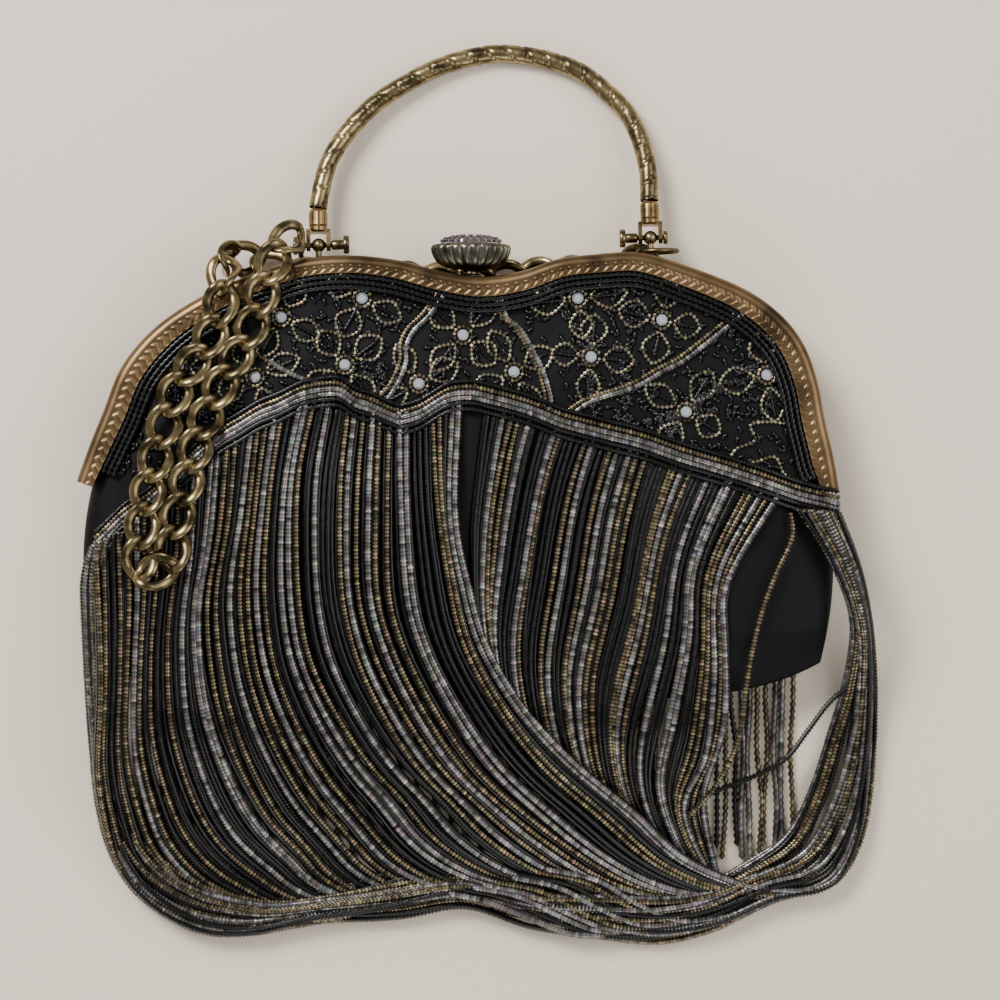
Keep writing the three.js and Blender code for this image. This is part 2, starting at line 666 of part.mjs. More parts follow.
function handleTubeGeometry() {
  const points = handleArch.map(([x, y]) => new THREE.Vector3((x * handleSpan) / 2, y * handleRise, 0));
  const start = ferruleStart + ferruleLength + 2 * clearance;
  points[0].y = start;
  points[points.length - 1].y = start;
  const path = curveOf(points);
  const section = new THREE.Shape();
  const sides = 10;
  for (let i = 0; i < sides; i++) {
    const a = (i * 2 * Math.PI) / sides;
    const [x, y] = [(handleTube / 2) * Math.cos(a), (handleTube / 2) * Math.sin(a)];
    if (i) section.lineTo(x, y);
    else section.moveTo(x, y);
  }
  return new THREE.ExtrudeGeometry(section, { steps: 30, extrudePath: path });
}

// The clasp's fluted cup: an oval bell whose rim swings in and out with the flutes
function claspCup() {
  const rows = [[0.46, 0], [0.74, 0.16], [0.93, 0.5], [1, 0.86], [0.97, 1], [0.8, 1.1]];
  const around = fluteCount * 2;
  const rings = rows.map(([wide, tall], row) =>
    Array.from({ length: around }, (_, i) => {
      const a = (i * 2 * Math.PI) / around;
      const flute = 1 - (row > 0 && row < 5 && i % 2 ? fluteDepth : 0);
      return new THREE.Vector3(
        ((wide * claspWide) / 2) * flute * Math.cos(a), tall * claspTall,
        ((wide * claspDeep) / 2) * flute * Math.sin(a));
    }),
  );
  return loft(rings);
}

// The clasp's domed top, set all over with small stones
function claspCrown() {
  const rows = [[0.74, 0], [0.7, 0.4], [0.52, 0.78], [0.24, 1]];
  const rings = rows.map(([wide, tall]) =>
    Array.from({ length: 14 }, (_, i) => {
      const a = (i * 2 * Math.PI) / 14;
      return new THREE.Vector3(
        ((wide * claspWide) / 2) * Math.cos(a), tall * 2, ((wide * claspDeep) / 2) * Math.sin(a));
    }),
  );
  return loft(rings);
}

const purse = new THREE.Group();
const pouch = named("pouch", pouchShell(), satinFinish);
purse.add(pouch);
purse.add(named("frame_front", frameFrontGeometry(), brassFinish));
purse.add(named("frame_back", frameHalf(-1), brassFinish));
purse.add(named("hinge_left", hingePost(0.03), oldBrassFinish));
purse.add(named("hinge_right", hingePost(0.97), oldBrassFinish));
purse.add(named("fringe_left", leftFringe(), beadFinish));
purse.add(named("fringe_right", rightFringe(), darkBeadFinish));
purse.add(named("fringe_back", backFringe(), darkBeadFinish));

// Stones sit on the yoke, whose height under each one is found by a ray from above
pouch.updateMatrixWorld(true);
const stones = new THREE.Group();
stoneSpots.forEach(([x, y], i) => {
  const place = spot(x, y);
  const ray = new THREE.Raycaster(place.clone().setZ(frameFront * 3), new THREE.Vector3(0, 0, -1));
  const [hit] = ray.intersectObject(pouch);
  const set = named("stone_" + String(i + 1).padStart(2, "0"), stone(), stoneFinish);
  set.position.set(place.x, place.y, (hit ? hit.point.z : layerFloor) + clearance);
  stones.add(set);
});
purse.add(stones);

// The clasp stands in the dip between the humps
const clasp = new THREE.Group();
const dipT = frameEdge.findIndex(([x]) => x === 0) / (frameEdge.length - 1);
const neck = new THREE.CylinderGeometry(neckTop, neckFoot, neckTall, 10);
clasp.position.set(claspX, edgeCurve.getPoint(dipT).y + 2.4 * clearance, midZ);
clasp.add(named("clasp_neck", neck.translate(0, neckTall / 2, 0), oldBrassFinish));
const cup = named("clasp_cup", claspCup(), pewterFinish);
cup.position.y = neckTall + clearance;
clasp.add(cup);
const crown = named("clasp_crown", claspCrown(), stoneFinish);
crown.position.y = cup.position.y + claspTall * 1.1 + clearance;
clasp.add(crown);
purse.add(clasp);

pivots.add(named("lug_left", lug(-1), oldBrassFinish));
pivots.add(named("lug_right", lug(1), oldBrassFinish));
const handle = new THREE.Group();
handle.rotation.x = -THREE.MathUtils.degToRad(handleTilt);
handle.add(named("handle_arch", handleTubeGeometry(), oldBrassFinish));
handle.add(named("ferrule_left", ferrule(-1), oldBrassFinish));
handle.add(named("ferrule_right", ferrule(1), oldBrassFinish));
pivots.add(handle);
purse.add(pivots);

purse.add(named("chain", chain(), oldBrassFinish));

// The origin is on the floor, under the middle of all that lies there
purse.updateMatrixWorld(true);
const reachBox = new THREE.Box3().setFromObject(purse, true);
const middle = reachBox.getCenter(new THREE.Vector3());
purse.position.set(-middle.x, -middle.y, 0);

export default purse;
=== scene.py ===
import math

import bpy
import numpy as np
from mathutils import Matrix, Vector
from mathutils.bvhtree import BVHTree


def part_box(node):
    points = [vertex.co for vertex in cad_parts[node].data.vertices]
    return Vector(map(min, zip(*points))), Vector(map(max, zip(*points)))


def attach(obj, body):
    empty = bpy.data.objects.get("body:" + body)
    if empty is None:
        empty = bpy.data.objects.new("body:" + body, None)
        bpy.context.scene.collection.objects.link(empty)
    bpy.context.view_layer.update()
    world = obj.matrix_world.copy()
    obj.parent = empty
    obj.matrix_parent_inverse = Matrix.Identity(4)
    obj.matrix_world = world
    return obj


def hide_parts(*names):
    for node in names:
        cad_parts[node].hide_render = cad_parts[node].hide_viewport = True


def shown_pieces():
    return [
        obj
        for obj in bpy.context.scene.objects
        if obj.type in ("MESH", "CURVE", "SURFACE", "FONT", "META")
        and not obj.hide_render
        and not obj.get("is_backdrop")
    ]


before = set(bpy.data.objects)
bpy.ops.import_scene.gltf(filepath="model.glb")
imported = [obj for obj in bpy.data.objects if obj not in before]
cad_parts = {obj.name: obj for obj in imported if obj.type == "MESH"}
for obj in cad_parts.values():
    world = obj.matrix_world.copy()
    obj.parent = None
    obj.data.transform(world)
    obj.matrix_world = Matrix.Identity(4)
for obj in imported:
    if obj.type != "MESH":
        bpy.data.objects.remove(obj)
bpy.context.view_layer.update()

print("frame loaded")

# All shapes are worked out in millimetres in the frame's drawing coordinates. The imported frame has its
# origin under the middle of the purse, and its front frame says how far that is from the drawing's.
drawnCorner = (-113.17, 2.26)  # lowest x and y of the front frame in the drawing
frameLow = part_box("frame_front")[0]
shift = np.array([frameLow.x * 1000 - drawnCorner[0], frameLow.y * 1000 - drawnCorner[1], 0.0])
pixelSize = 0.28  # mm of the purse in one pixel of the picture
pixelOrigin = (480, 501)  # the pixel on the drawing's origin
seed = np.random.default_rng(11)

# Sizes shared with the frame's source
midZ = 14.5
frameDepth = 7.55  # each half, front to back
frameSheet = 1.1
frameRound = 2.2  # rounded outer edge
halfGap = 0.15  # from the middle plane to either half
bandWidth = 6.8
clearance = 0.3
clothWall = 1.5
tuck = 1.4  # how far the cloth goes under the frame's face
pouchHalf = 7.9
layerFloor = 22.7  # underside of what lies on the pouch
leftReach = 113.4
rightReach = 101.0
hingeLevel = 4
humpHeight = 66.0
fringeDrop = 132.0
beadPitch = 1.04  # from bead to bead along a thread
beadRadius = 0.95


# A picture position in pixels to millimetres
def picked(points):
    points = np.array(points, float)
    return np.stack([(points[:, 0] - pixelOrigin[0]) * pixelSize,
                     (pixelOrigin[1] - points[:, 1]) * pixelSize], 1)


# A share of the reach, and of the hump height or the fringe's drop, to millimetres
def spot(x, y):
    x = np.asarray(x, float)
    y = np.asarray(y, float)
    return np.stack([x * np.where(x < 0, leftReach, rightReach),
                     hingeLevel + y * np.where(y > 0, humpHeight, fringeDrop)], -1)


# A smooth curve through points with centripetal spacing; t runs from 0 to 1 evenly over the points
def curveAt(points, t):
    points = np.asarray(points, float)
    points = np.vstack([2 * points[0] - points[1], points, 2 * points[-1] - points[-2]])
    place = np.clip(np.asarray(t, float), 0, 1) * (len(points) - 3)
    row = np.minimum(place.astype(int), len(points) - 4)
    w = (place - row)[:, None]
    p0, p1, p2, p3 = (points[row + i] for i in range(4))
    gap = [np.maximum(np.linalg.norm(b - a, axis=1) ** 0.5, 1e-4)[:, None]
           for a, b in ((p0, p1), (p1, p2), (p2, p3))]
    m1 = ((p1 - p0) / gap[0] - (p2 - p0) / (gap[0] + gap[1]) + (p2 - p1) / gap[1]) * gap[1]
    m2 = ((p2 - p1) / gap[1] - (p3 - p1) / (gap[1] + gap[2]) + (p3 - p2) / gap[2]) * gap[1]
    return (p1 + m1 * w + (-3 * p1 + 3 * p2 - 2 * m1 - m2) * w**2
            + (2 * p1 - 2 * p2 + m1 + m2) * w**3)


# The same curve cut into equal steps of about the given length
def evenSteps(points, step):
    fine = curveAt(points, np.linspace(0, 1, 60 * len(points)))
    run = np.concatenate([[0], np.cumsum(np.linalg.norm(np.diff(fine, axis=0), axis=1))])
    count = max(2, int(round(run[-1] / step)) + 1)
    places = np.linspace(0, run[-1], count)
    return np.stack([np.interp(places, run, fine[:, i]) for i in range(fine.shape[1])], 1)


def smoothStep(low, high, v):
    w = np.clip((v - low) / (high - low), 0, 1)
    return w * w * (3 - 2 * w)


# An sRGB colour such as 8a7c50 as linear numbers
def colourOf(code, alpha=1.0):
    parts = [int(code[i : i + 2], 16) / 255 for i in (0, 2, 4)]
    return [p / 12.92 if p <= 0.04045 else ((p + 0.055) / 1.055) ** 2.4 for p in parts] + [alpha]


def addNode(tree, kind, settings=None, links=None):
    node = tree.nodes.new(kind)
    for key, value in (settings or {}).items():
        if hasattr(node, key):
            setattr(node, key, value)
        else:
            node.inputs[key].default_value = value
    for key, source in (links or {}).items():
        tree.links.new(source, node.inputs[key])
    return node


def shaderOf(name, settings):
    material = bpy.data.materials.new(name)
    material.use_nodes = True
    tree = material.node_tree
    shader = tree.nodes["Principled BSDF"]
    for key, value in settings.items():
        shader.inputs[key].default_value = value
    return material, tree, shader


# Fine unevenness of a surface, with its real grain size in millimetres
def addGrain(tree, shader, grain, strength, depth):
    place = addNode(tree, "ShaderNodeTexCoord")
    noise = addNode(tree, "ShaderNodeTexNoise", {"Scale": 1000 / grain, "Detail": 4.0},
                    {"Vector": place.outputs["Object"]})
    bump = addNode(tree, "ShaderNodeBump", {"Strength": strength, "Distance": depth / 1000},
                   {"Height": noise.outputs["Fac"]})
    tree.links.new(bump.outputs["Normal"], shader.inputs["Normal"])


# Old plated brass: wear and tarnish in patches of a few millimetres
def agedMetal(name, dark, light, roughness, patch):
    material, tree, shader = shaderOf(name, {"Metallic": 1.0, "Roughness": roughness})
    addGrain(tree, shader, 0.5, 0.15, 0.05)
    place = addNode(tree, "ShaderNodeTexCoord")
    patches = addNode(tree, "ShaderNodeTexNoise", {"Scale": 1000 / patch, "Detail": 5.0},
                      {"Vector": place.outputs["Object"]})
    ramp = addNode(tree, "ShaderNodeValToRGB", {}, {"Fac": patches.outputs["Fac"]})
    ramp.color_ramp.elements[0].position = 0.36
    ramp.color_ramp.elements[1].position = 0.62
    ramp.color_ramp.elements[0].color = colourOf(dark)
    ramp.color_ramp.elements[1].color = colourOf(light)
    tree.links.new(ramp.outputs["Color"], shader.inputs["Base Color"])
    return material


# Coppery gold plate of the stamped frame
frameBrass = agedMetal("frameBrass", "463828", "7f674a", 0.36, 14)
# Dark antiqued brass of the handle, the chain and the lugs
oldBrass = agedMetal("oldBrass", "463d2b", "968561", 0.27, 5)
# Bright rubbed brass of the ferrules
ferruleBrass = agedMetal("ferruleBrass", "55452c", "927a50", 0.26, 6)
# Greyed metal of the fluted clasp cup
claspMetal = agedMetal("claspMetal", "3f3d35", "7f7c6d", 0.3, 4)

# Black silk satin, woven at about a fifth of a millimetre
satin, satinTree, satinShader = shaderOf(
    "satin", {"Base Color": colourOf("08080a"), "Roughness": 0.5, "Specular IOR Level": 0.16}
)
addGrain(satinTree, satinShader, 0.4, 0.25, 0.05)

# Glass seed beads of one to two millimetres: colour and metal lustre come from each bead
beads, beadTree, beadShader = shaderOf("beads", {"Roughness": 0.24, "Specular IOR Level": 0.35})
tintNode = addNode(beadTree, "ShaderNodeAttribute", {"attribute_name": "beadTint"})
beadTree.links.new(tintNode.outputs["Color"], beadShader.inputs["Base Color"])
beadTree.links.new(tintNode.outputs["Alpha"], beadShader.inputs["Metallic"])

# Foiled clear cut glass: the foil behind it throws back nearly all light
stoneGlass = shaderOf(
    "stoneGlass",
    {"Base Color": colourOf("e6edf4"), "Metallic": 0.75, "Roughness": 0.05, "Coat Weight": 1.0},
)[0]

# Small foiled stones of the crown, about a millimetre each, dulled with age
crownGlass = shaderOf(
    "crownGlass", {"Base Color": colourOf("8d8286"), "Metallic": 0.8, "Roughness": 0.12}
)[0]

print("materials made")


# A mesh object from points in drawing millimetres; it rides on its body and stands for its nodes
def addMesh(name, points, faces, material, spec, tint=None, smooth=True, caps=()):
    mesh = bpy.data.meshes.new(name)
    mesh.from_pydata(((points + shift) / 1000).tolist(), [], faces.tolist() + list(caps))
    mesh.materials.append(material)
    mesh.polygons.foreach_set("use_smooth", np.full(len(mesh.polygons), smooth))
    if tint is not None:
        layer = mesh.color_attributes.new("beadTint", "FLOAT_COLOR", "POINT")
        layer.data.foreach_set("color", np.asarray(tint, np.float32).ravel())
    mesh.update()
    thing = bpy.data.objects.new(name, mesh)
    bpy.context.scene.collection.objects.link(thing)
    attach(thing, spec["body"])
    if spec.get("replaces"):
        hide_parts(*spec["replaces"])
    return thing


# Quads between rows of points: rows x around, joined round when closedAround, row to row
def gridFaces(rows, around, closedAround=True, closedRows=False):
    i = np.arange(rows if closedRows else rows - 1)[:, None]
    j = np.arange(around if closedAround else around - 1)[None, :]
    nextRow = (i + 1) % rows
    nextAround = (j + 1) % around
    return np.stack([i * around + j, i * around + nextAround, nextRow * around + nextAround,
                     nextRow * around + j], -1).reshape(-1, 4)


# Directions beside and above a path that lies roughly flat
def sidesOf(path):
    along = np.gradient(path, axis=0)
    along /= np.maximum(np.linalg.norm(along, axis=1, keepdims=True), 1e-9)
    beside = np.cross(along, [0.0, 0.0, 1.0])
    weak = np.linalg.norm(beside, axis=1) < 1e-4
    beside[weak] = [1.0, 0.0, 0.0]
    beside /= np.linalg.norm(beside, axis=1, keepdims=True)
    return along, beside, np.cross(beside, along)


# A tube round a path: one radius for each point
def tubeOf(path, radius, around):
    along, beside, above = sidesOf(path)
    turn = np.arange(around) * 2 * math.pi / around
    radius = np.broadcast_to(radius, len(path))[:, None, None]
    ring = (np.cos(turn)[None, :, None] * beside[:, None] + np.sin(turn)[None, :, None] * above[:, None])
    return (path[:, None] + radius * ring).reshape(-1, 3), gridFaces(len(path), around)


# Threaded beads along paths: each bead is a belly and a waist, so the tube is scalloped. The waist is
# painted darker: painted shade for the seam between two beads.
def beadStrands(name, paths, tints, spec, around=6, belly=beadRadius, pitch=beadPitch, waist=0.5):
    points, faces, colours, start = [], [], [], 0
    for path, tint in zip(paths, tints):
        steps = evenSteps(path, pitch / 2)
        wide = belly * (1.12 if tint is silverTint else 1.0)
        neck = max(waist, 0.72) if tint is silverTint else waist
        radius = np.where(np.arange(len(steps)) % 2 == 0, wide * neck, wide)
        radius = radius * seed.uniform(0.94, 1.06, len(steps))
        radius[[0, -1]] = 0.1
        p, f = tubeOf(steps, radius, around)
        # Each bead's brightness at random: partly real tone differences between beads, partly painted glints
        toneAndGlint = np.repeat(seed.gamma(5, 0.2, len(steps) // 2 + 1), 2)[: len(steps)]
        hue = np.repeat(seed.normal(0, 0.08, (len(steps) // 2 + 1, 3)), 2, axis=0)[: len(steps)]
        c = np.empty((len(steps), 4))
        c[:, :3] = np.clip(np.array(tint[:3]) * toneAndGlint[:, None] * (1 + hue), 0, 1)
        # Painted shade: the waists' colour is darkened, less on silver strands
        c[::2, :3] *= 0.5 if tint is silverTint else 0.22
        c[:, 3] = tint[3]
        points.append(p)
        faces.append(f + start)
        colours.append(np.repeat(c, around, axis=0))
        start += len(p)
    return addMesh(name, np.vstack(points), np.vstack(faces), beads, spec, np.vstack(colours))


silverTint = colourOf("7d7977", 0.62)
bronzeTint = colourOf("7b6e55", 0.72)
petalTint = colourOf("8f876f", 0.6)
blackTint = colourOf("0d0d0f", 0.0)
tintChoices = [silverTint, bronzeTint, blackTint]


# Strand colours by chance, with no more than two alike side by side
def randomTints(count, shares=(0.4, 0.35, 0.25)):
    picks = []
    while len(picks) < count:
        pick = seed.choice(3, p=shares)
        if len(picks) < 2 or not pick == picks[-1] == picks[-2]:
            picks.append(pick)
    return [tintChoices[i] for i in picks]


# Strand guides in picture pixels, each with its order in its family
leftGuides = [
    (0.0, [(93, 552), (97, 700), (92, 780), (97, 830), (112, 880), (150, 915), (200, 925), (260, 935),
           (300, 932)]),
    (0.38, [(235, 440), (228, 520), (215, 600), (222, 680), (235, 730), (250, 770), (275, 820),
            (300, 850), (330, 885), (380, 905), (430, 905)]),
    (0.6, [(315, 397), (300, 470), (298, 550), (303, 620), (312, 660), (335, 710), (370, 765),
           (400, 800), (430, 840), (470, 870), (520, 890), (560, 895)]),
    (0.78, [(385, 412), (383, 500), (385, 600), (400, 650), (430, 710), (470, 770), (510, 810),
            (560, 850), (620, 888), (680, 905)]),
    (0.9, [(432, 408), (437, 500), (445, 560), (462, 640), (492, 700), (540, 765), (600, 820),
           (655, 868), (715, 895), (780, 905)]),
    (1.0, [(462, 396), (456, 520), (470, 590), (485, 640), (520, 700), (570, 755), (640, 815),
           (690, 862), (760, 892), (815, 896)]),
]
rightGuides = [
    (0.0, [(485, 396), (478, 450), (470, 540), (480, 640), (520, 720), (560, 790)]),
    (0.2, [(545, 412), (527, 470), (510, 560), (500, 650), (520, 740), (575, 820)]),
    (0.36, [(600, 433), (580, 500), (566, 580), (552, 680), (570, 770), (610, 840)]),
    (0.55, [(660, 450), (640, 520), (625, 600), (602, 700), (612, 790), (650, 870)]),
    (0.7, [(700, 462), (670, 540), (650, 640), (625, 750), (640, 820), (680, 890)]),
    (0.82, [(735, 474), (695, 570), (690, 640), (676, 720), (665, 790), (700, 890)]),
    (0.93, [(765, 484), (717, 580), (714, 680), (705, 760), (685, 810), (715, 890)]),
    (1.0, [(785, 492), (728, 590), (728, 640), (729, 720), (712, 790), (725, 890)]),
]
# The loops that run down the left edge, along the bottom and up the right side
outerLoop = [
    (92, 546), (82, 575), (80, 620), (80, 690), (84, 750), (90, 810), (106, 865), (135, 905), (190, 938),
    (240, 944), (310, 930), (400, 924), (465, 914), (530, 934), (600, 944), (660, 950), (715, 938),
    (780, 908), (840, 893), (866, 850), (878, 790), (881, 700), (874, 630), (860, 570), (838, 512),
]
innerLoop = [
    (112, 534), (108, 570), (106, 620), (107, 690), (112, 750), (126, 800), (150, 850), (185, 880),
    (235, 896), (280, 902), (340, 892), (410, 872), (470, 868), (540, 880), (605, 886), (665, 893),
    (710, 888), (750, 870), (792, 842), (815, 800), (835, 740), (851, 680), (854, 620), (833, 565),
    (797, 508),
]
# Ends of the right fringe that come out below the sweep, over the loops
endGuides = [
    (0.0, [(440, 900), (480, 908), (520, 925), (560, 941), (600, 944)]),
    (1.0, [(552, 872), (604, 884), (645, 908), (690, 926), (738, 922)]),
]
beadSpec = {"body": "root", "slot": "mixed_beads"}
strandShares = np.linspace(0, 1, 26)  # the places along a strand that are worked out


# Points at the given shares of a picture line's length
def pointsAt(line, shares):
    even = evenSteps(picked(line), 1.0)
    return np.stack([np.interp(shares, np.linspace(0, 1, len(even)), even[:, i]) for i in (0, 1)], 1)


# Strands of a family: neighbouring guides are blended in equal shares of their lengths
def familyPaths(guides, count, wander):
    orders = [order for order, guide in guides]
    lines = np.array([pointsAt(guide, strandShares) for order, guide in guides])
    paths = []
    for k in (np.arange(count) + 0.5) / count:
        k = np.clip(k + seed.normal(0, 0.15) / count, 0, 1)
        flat = np.stack([[np.interp(k, orders, lines[:, s, i]) for i in (0, 1)]
                         for s in range(len(strandShares))])
        flat[:, 0] += seed.normal(0, wander) * np.sin(strandShares * math.pi * seed.uniform(0.8, 2.2))
        paths.append(flat)
    return paths


# Height of the pile of strands: on the pouch, then down to the floor
def pileHeight(y):
    hem = 5.6
    return hem + (layerFloor + 0.9 - hem) * smoothStep(-109.5, -56.0, y)


# Extra height where the left fringe sweeps over the right one, gone again at the strands' tips
def sweepLift(top, k, y):
    lift = top * smoothStep(0.4, 0.62, k) * (1 - smoothStep(-14, 24, y))
    return lift * (1 - smoothStep(0.8, 1, strandShares))


# Strands that would be too large in one mesh, cut into numbered pieces. The first stands for the node.
def beadParts(name, paths, tints, cuts, around=6, replaced=()):
    for part, (low, high) in enumerate(zip(cuts[:-1], cuts[1:])):
        spec = dict(beadSpec, replaces=replaced if part == 0 else [])
        beadStrands("%s%d" % (name, part + 1), paths[low:high], tints[low:high], spec, around)


leftFringe = {"strands": 46, "wander": 0.35, "sweepHeight": 2.7, "cuts": (0, 16, 31, 46)}
leftPaths = []
for i, flat in enumerate(familyPaths(leftGuides, leftFringe["strands"], leftFringe["wander"])):
    lift = sweepLift(leftFringe["sweepHeight"], i / (leftFringe["strands"] - 1), flat[:, 1])
    z = pileHeight(flat[:, 1]) + lift + seed.uniform(-0.1, 0.9)
    leftPaths.append(np.column_stack([flat, z]))
beadParts("fringeLeft", leftPaths, randomTints(leftFringe["strands"]), leftFringe["cuts"],
          replaced=["fringe_left"])


# Black strands between and beneath the others. They show only in the gaps, so their beads are plainer.
def underStrands(name, guides, count, drop, top=0.0):
    paths = []
    for i, flat in enumerate(familyPaths(guides, count, 0.6)):
        lift = sweepLift(top, i / count, flat[:, 1])
        z = pileHeight(flat[:, 1]) + lift - drop + seed.uniform(-0.2, 0.3)
        paths.append(np.column_stack([flat, z]))
    beadStrands(name, paths, [blackTint] * count, beadSpec, around=5, pitch=4 * beadPitch, waist=0.94)


underStrands("fringeUnderLeft", leftGuides, 72, 0.9, leftFringe["sweepHeight"])
underStrands("fringeUnderRight", rightGuides, 62, 1.1)

rightFringe = {"strands": 36, "wander": 0.3, "tints": (0.34, 0.36, 0.3)}
rightPaths = []
for flat in familyPaths(rightGuides, rightFringe["strands"], rightFringe["wander"]):
    z = pileHeight(flat[:, 1]) - 0.3 + seed.uniform(-0.2, 0.5)
    rightPaths.append(np.column_stack([flat, z]))
beadStrands("fringeRight", rightPaths, randomTints(rightFringe["strands"], rightFringe["tints"]),
            dict(beadSpec, replaces=["fringe_right"]))

# Two strands that stray over the gap: one comes down with the pile, one hangs across from the loops
strayDown = picked([(790, 512), (792, 535), (775, 575), (762, 610), (752, 650), (745, 690), (738, 740),
                    (715, 790), (690, 820)])
strayAcross = picked([(860, 684), (835, 703), (810, 735), (790, 760), (765, 775), (740, 785), (708, 797)])
strayPaths = [
    np.column_stack([strayDown, np.minimum(24.4, pileHeight(strayDown[:, 1]) + 1.2)]),
    np.column_stack([strayAcross, np.linspace(9.5, 14.2, len(strayAcross))]),
]
beadStrands("fringeStrays", strayPaths, [bronzeTint, blackTint], beadSpec)

endStrands = {"strands": 9, "wander": 0.5, "top": 9.4, "fall": 3.5}
endPaths = [np.column_stack([flat, endStrands["top"] - endStrands["fall"] * strandShares
                             + seed.uniform(-0.4, 0.4)])
            for flat in familyPaths(endGuides, endStrands["strands"], endStrands["wander"])]
beadStrands("fringeEnds", endPaths, randomTints(endStrands["strands"]), beadSpec, around=5)

# Each loop waves between the outer and the inner line; the bundle is highest at its middle
loops = {"strands": 30, "tints": (0.3, 0.3, 0.4), "wave": 0.13, "low": 3.6, "heap": 3.4,
         "cuts": (0, 10, 20, 30)}
loopShares = np.linspace(0, 1, 70)
outerLine, innerLine = (pointsAt(line, loopShares) for line in (outerLoop, innerLoop))
loopPaths = []
for k in (np.arange(loops["strands"]) + 0.5) / loops["strands"]:
    wave = k + loops["wave"] * np.sin(loopShares * seed.uniform(8, 20) + seed.uniform(0, 6))
    wave = np.clip(wave, 0, 1)[:, None]
    flat = outerLine * (1 - wave) + innerLine * wave
    rise = smoothStep(-70, -5, flat[:, 1]) * (flat[:, 0] > 0) * (layerFloor - 3)
    z = loops["low"] + loops["heap"] * (1 - (2 * k - 1) ** 2) + rise + seed.uniform(-1.4, 1.4)
    z = z + smoothStep(-60, -10, flat[:, 1]) * (flat[:, 0] < 0) * (layerFloor - 6)
    loopPaths.append(np.column_stack([flat, z]))
beadParts("fringeLoops", loopPaths, randomTints(loops["strands"], loops["tints"]), loops["cuts"], around=5)
print("front fringe made")

# Plain strands behind: 36 behind the pouch and 10 closer ones to its right
backFringe = {"behind": (-96, 64, 36), "beside": (67, 89, 10), "foot": -100, "heights": [1.6, 2.6],
              "tints": (0.3, 0.35, 0.35), "pitch": 2.0}
backPlaces = np.concatenate([np.linspace(*backFringe["behind"]), np.linspace(*backFringe["beside"])])
backPaths = []
for x in backPlaces:
    low = backFringe["foot"] + 9 * abs(x / 100) ** 3 * (x < 0) + seed.uniform(-4, 2)
    y = np.linspace(1, low, 8)
    sway = x + seed.normal(0, 0.5, 8)
    backPaths.append(np.column_stack([sway, y, np.interp(y, [low, 1], backFringe["heights"])]))
beadStrands("fringeBack", backPaths, randomTints(len(backPlaces), backFringe["tints"]),
            {"body": "root", "slot": "dark_beads", "replaces": ["fringe_back"]}, around=4,
            pitch=backFringe["pitch"])
print("back fringe made")

# Outer edge of the frame: x share, y share, face width as a share of the band's width
frameEdge = np.array([
    [-0.998, 0.024, 0.72], [-0.968, 0.168, 0.86], [-0.933, 0.317, 0.95], [-0.889, 0.504, 0.98],
    [-0.82, 0.652, 0.96], [-0.728, 0.771, 0.88], [-0.593, 0.885, 0.8], [-0.444, 0.966, 0.74],
    [-0.321, 0.984, 0.74], [-0.198, 0.962, 0.78], [-0.099, 0.919, 0.82], [0, 0.894, 0.84],
    [0.111, 0.915, 0.82], [0.222, 0.97, 0.78], [0.333, 0.99, 0.78], [0.444, 0.996, 0.8],
    [0.582, 0.936, 0.86], [0.749, 0.83, 0.94], [0.846, 0.716, 1], [0.901, 0.601, 1],
    [0.937, 0.453, 0.98], [0.959, 0.283, 0.98], [0.984, 0.113, 0.95], [0.998, -0.007, 0.72],
])
edgePoints = spot(frameEdge[:, 0], frameEdge[:, 1])


# A place on the frame: t runs over the table's rows and depth goes inwards from the outer edge
def onFrame(t, depth):
    t = np.atleast_1d(t)
    p = curveAt(edgePoints, t)
    d = curveAt(edgePoints, np.clip(t + 1e-4, 0, 1)) - curveAt(edgePoints, np.clip(t - 1e-4, 0, 1))
    d /= np.linalg.norm(d, axis=1, keepdims=True)
    depth = np.broadcast_to(depth, t.shape)
    return p + np.stack([d[:, 1] * depth, -d[:, 0] * depth], 1)


def faceWidth(t):
    rows = np.linspace(0, 1, len(frameEdge))
    return bandWidth * np.interp(t, rows, frameEdge[:, 2])


stamping = {"spacing": 2.6, "slant": 0.6, "height": 0.26, "sunk": 0.12}


# Half of the frame as one bent sheet. The stamped leaves are a low relief on the inner strip of its face:
# slanting ridges that lean away from the strip's middle line on both sides and fade out at its edges.
def frameHalf(side, name, replaced):
    stations = 1000 if side > 0 else 300
    t = np.linspace(0, 1, stations)
    width = faceWidth(t)
    face = midZ + side * (halfGap + frameDepth)
    seam = midZ + side * halfGap
    middle = onFrame(t, 2.0)
    run = np.concatenate([[0], np.cumsum(np.linalg.norm(np.diff(middle, axis=0), axis=1))])
    rows = [(0 * t, np.full(stations, seam)), (0 * t, np.full(stations, face - side * frameRound))]
    for a in np.linspace(0.15, math.pi / 2, 6):
        rows.append((frameRound * (1 - np.cos(a)) + 0 * t,
                     np.full(stations, face - side * frameRound * (1 - np.sin(a)))))
    for share in np.linspace(0.04, 1, 17):
        across = 2 * share - 1
        phase = (run / stamping["spacing"] + stamping["slant"] * abs(across)) * 2 * math.pi
        strip = smoothStep(0.12, 0.3, share) * (1 - smoothStep(0.86, 1, share))
        ridge = np.maximum(0, np.sin(phase)) ** 0.8 * strip
        relief = stamping["height"] * ridge - stamping["sunk"] * (strip > 0)
        rows.append((frameRound + (width - frameRound) * share, face + side * relief))
    rows.append((width, np.full(stations, face - side * frameSheet)))
    rows.append((0 * t + frameSheet, np.full(stations, face - side * frameSheet)))
    rows.append((0 * t + frameSheet, np.full(stations, seam)))
    points = np.stack([np.column_stack([onFrame(t, d), z]) for d, z in rows], 1)
    faces = gridFaces(stations, len(rows))
    if side < 0:
        faces = faces[:, ::-1]
    last = (stations - 1) * len(rows)
    caps = [list(range(len(rows))), list(range(last, last + len(rows)))]
    return addMesh(name, points.reshape(-1, 3), faces, frameBrass,
                   {"body": "root", "slot": "frame_brass", "replaces": replaced}, caps=caps)


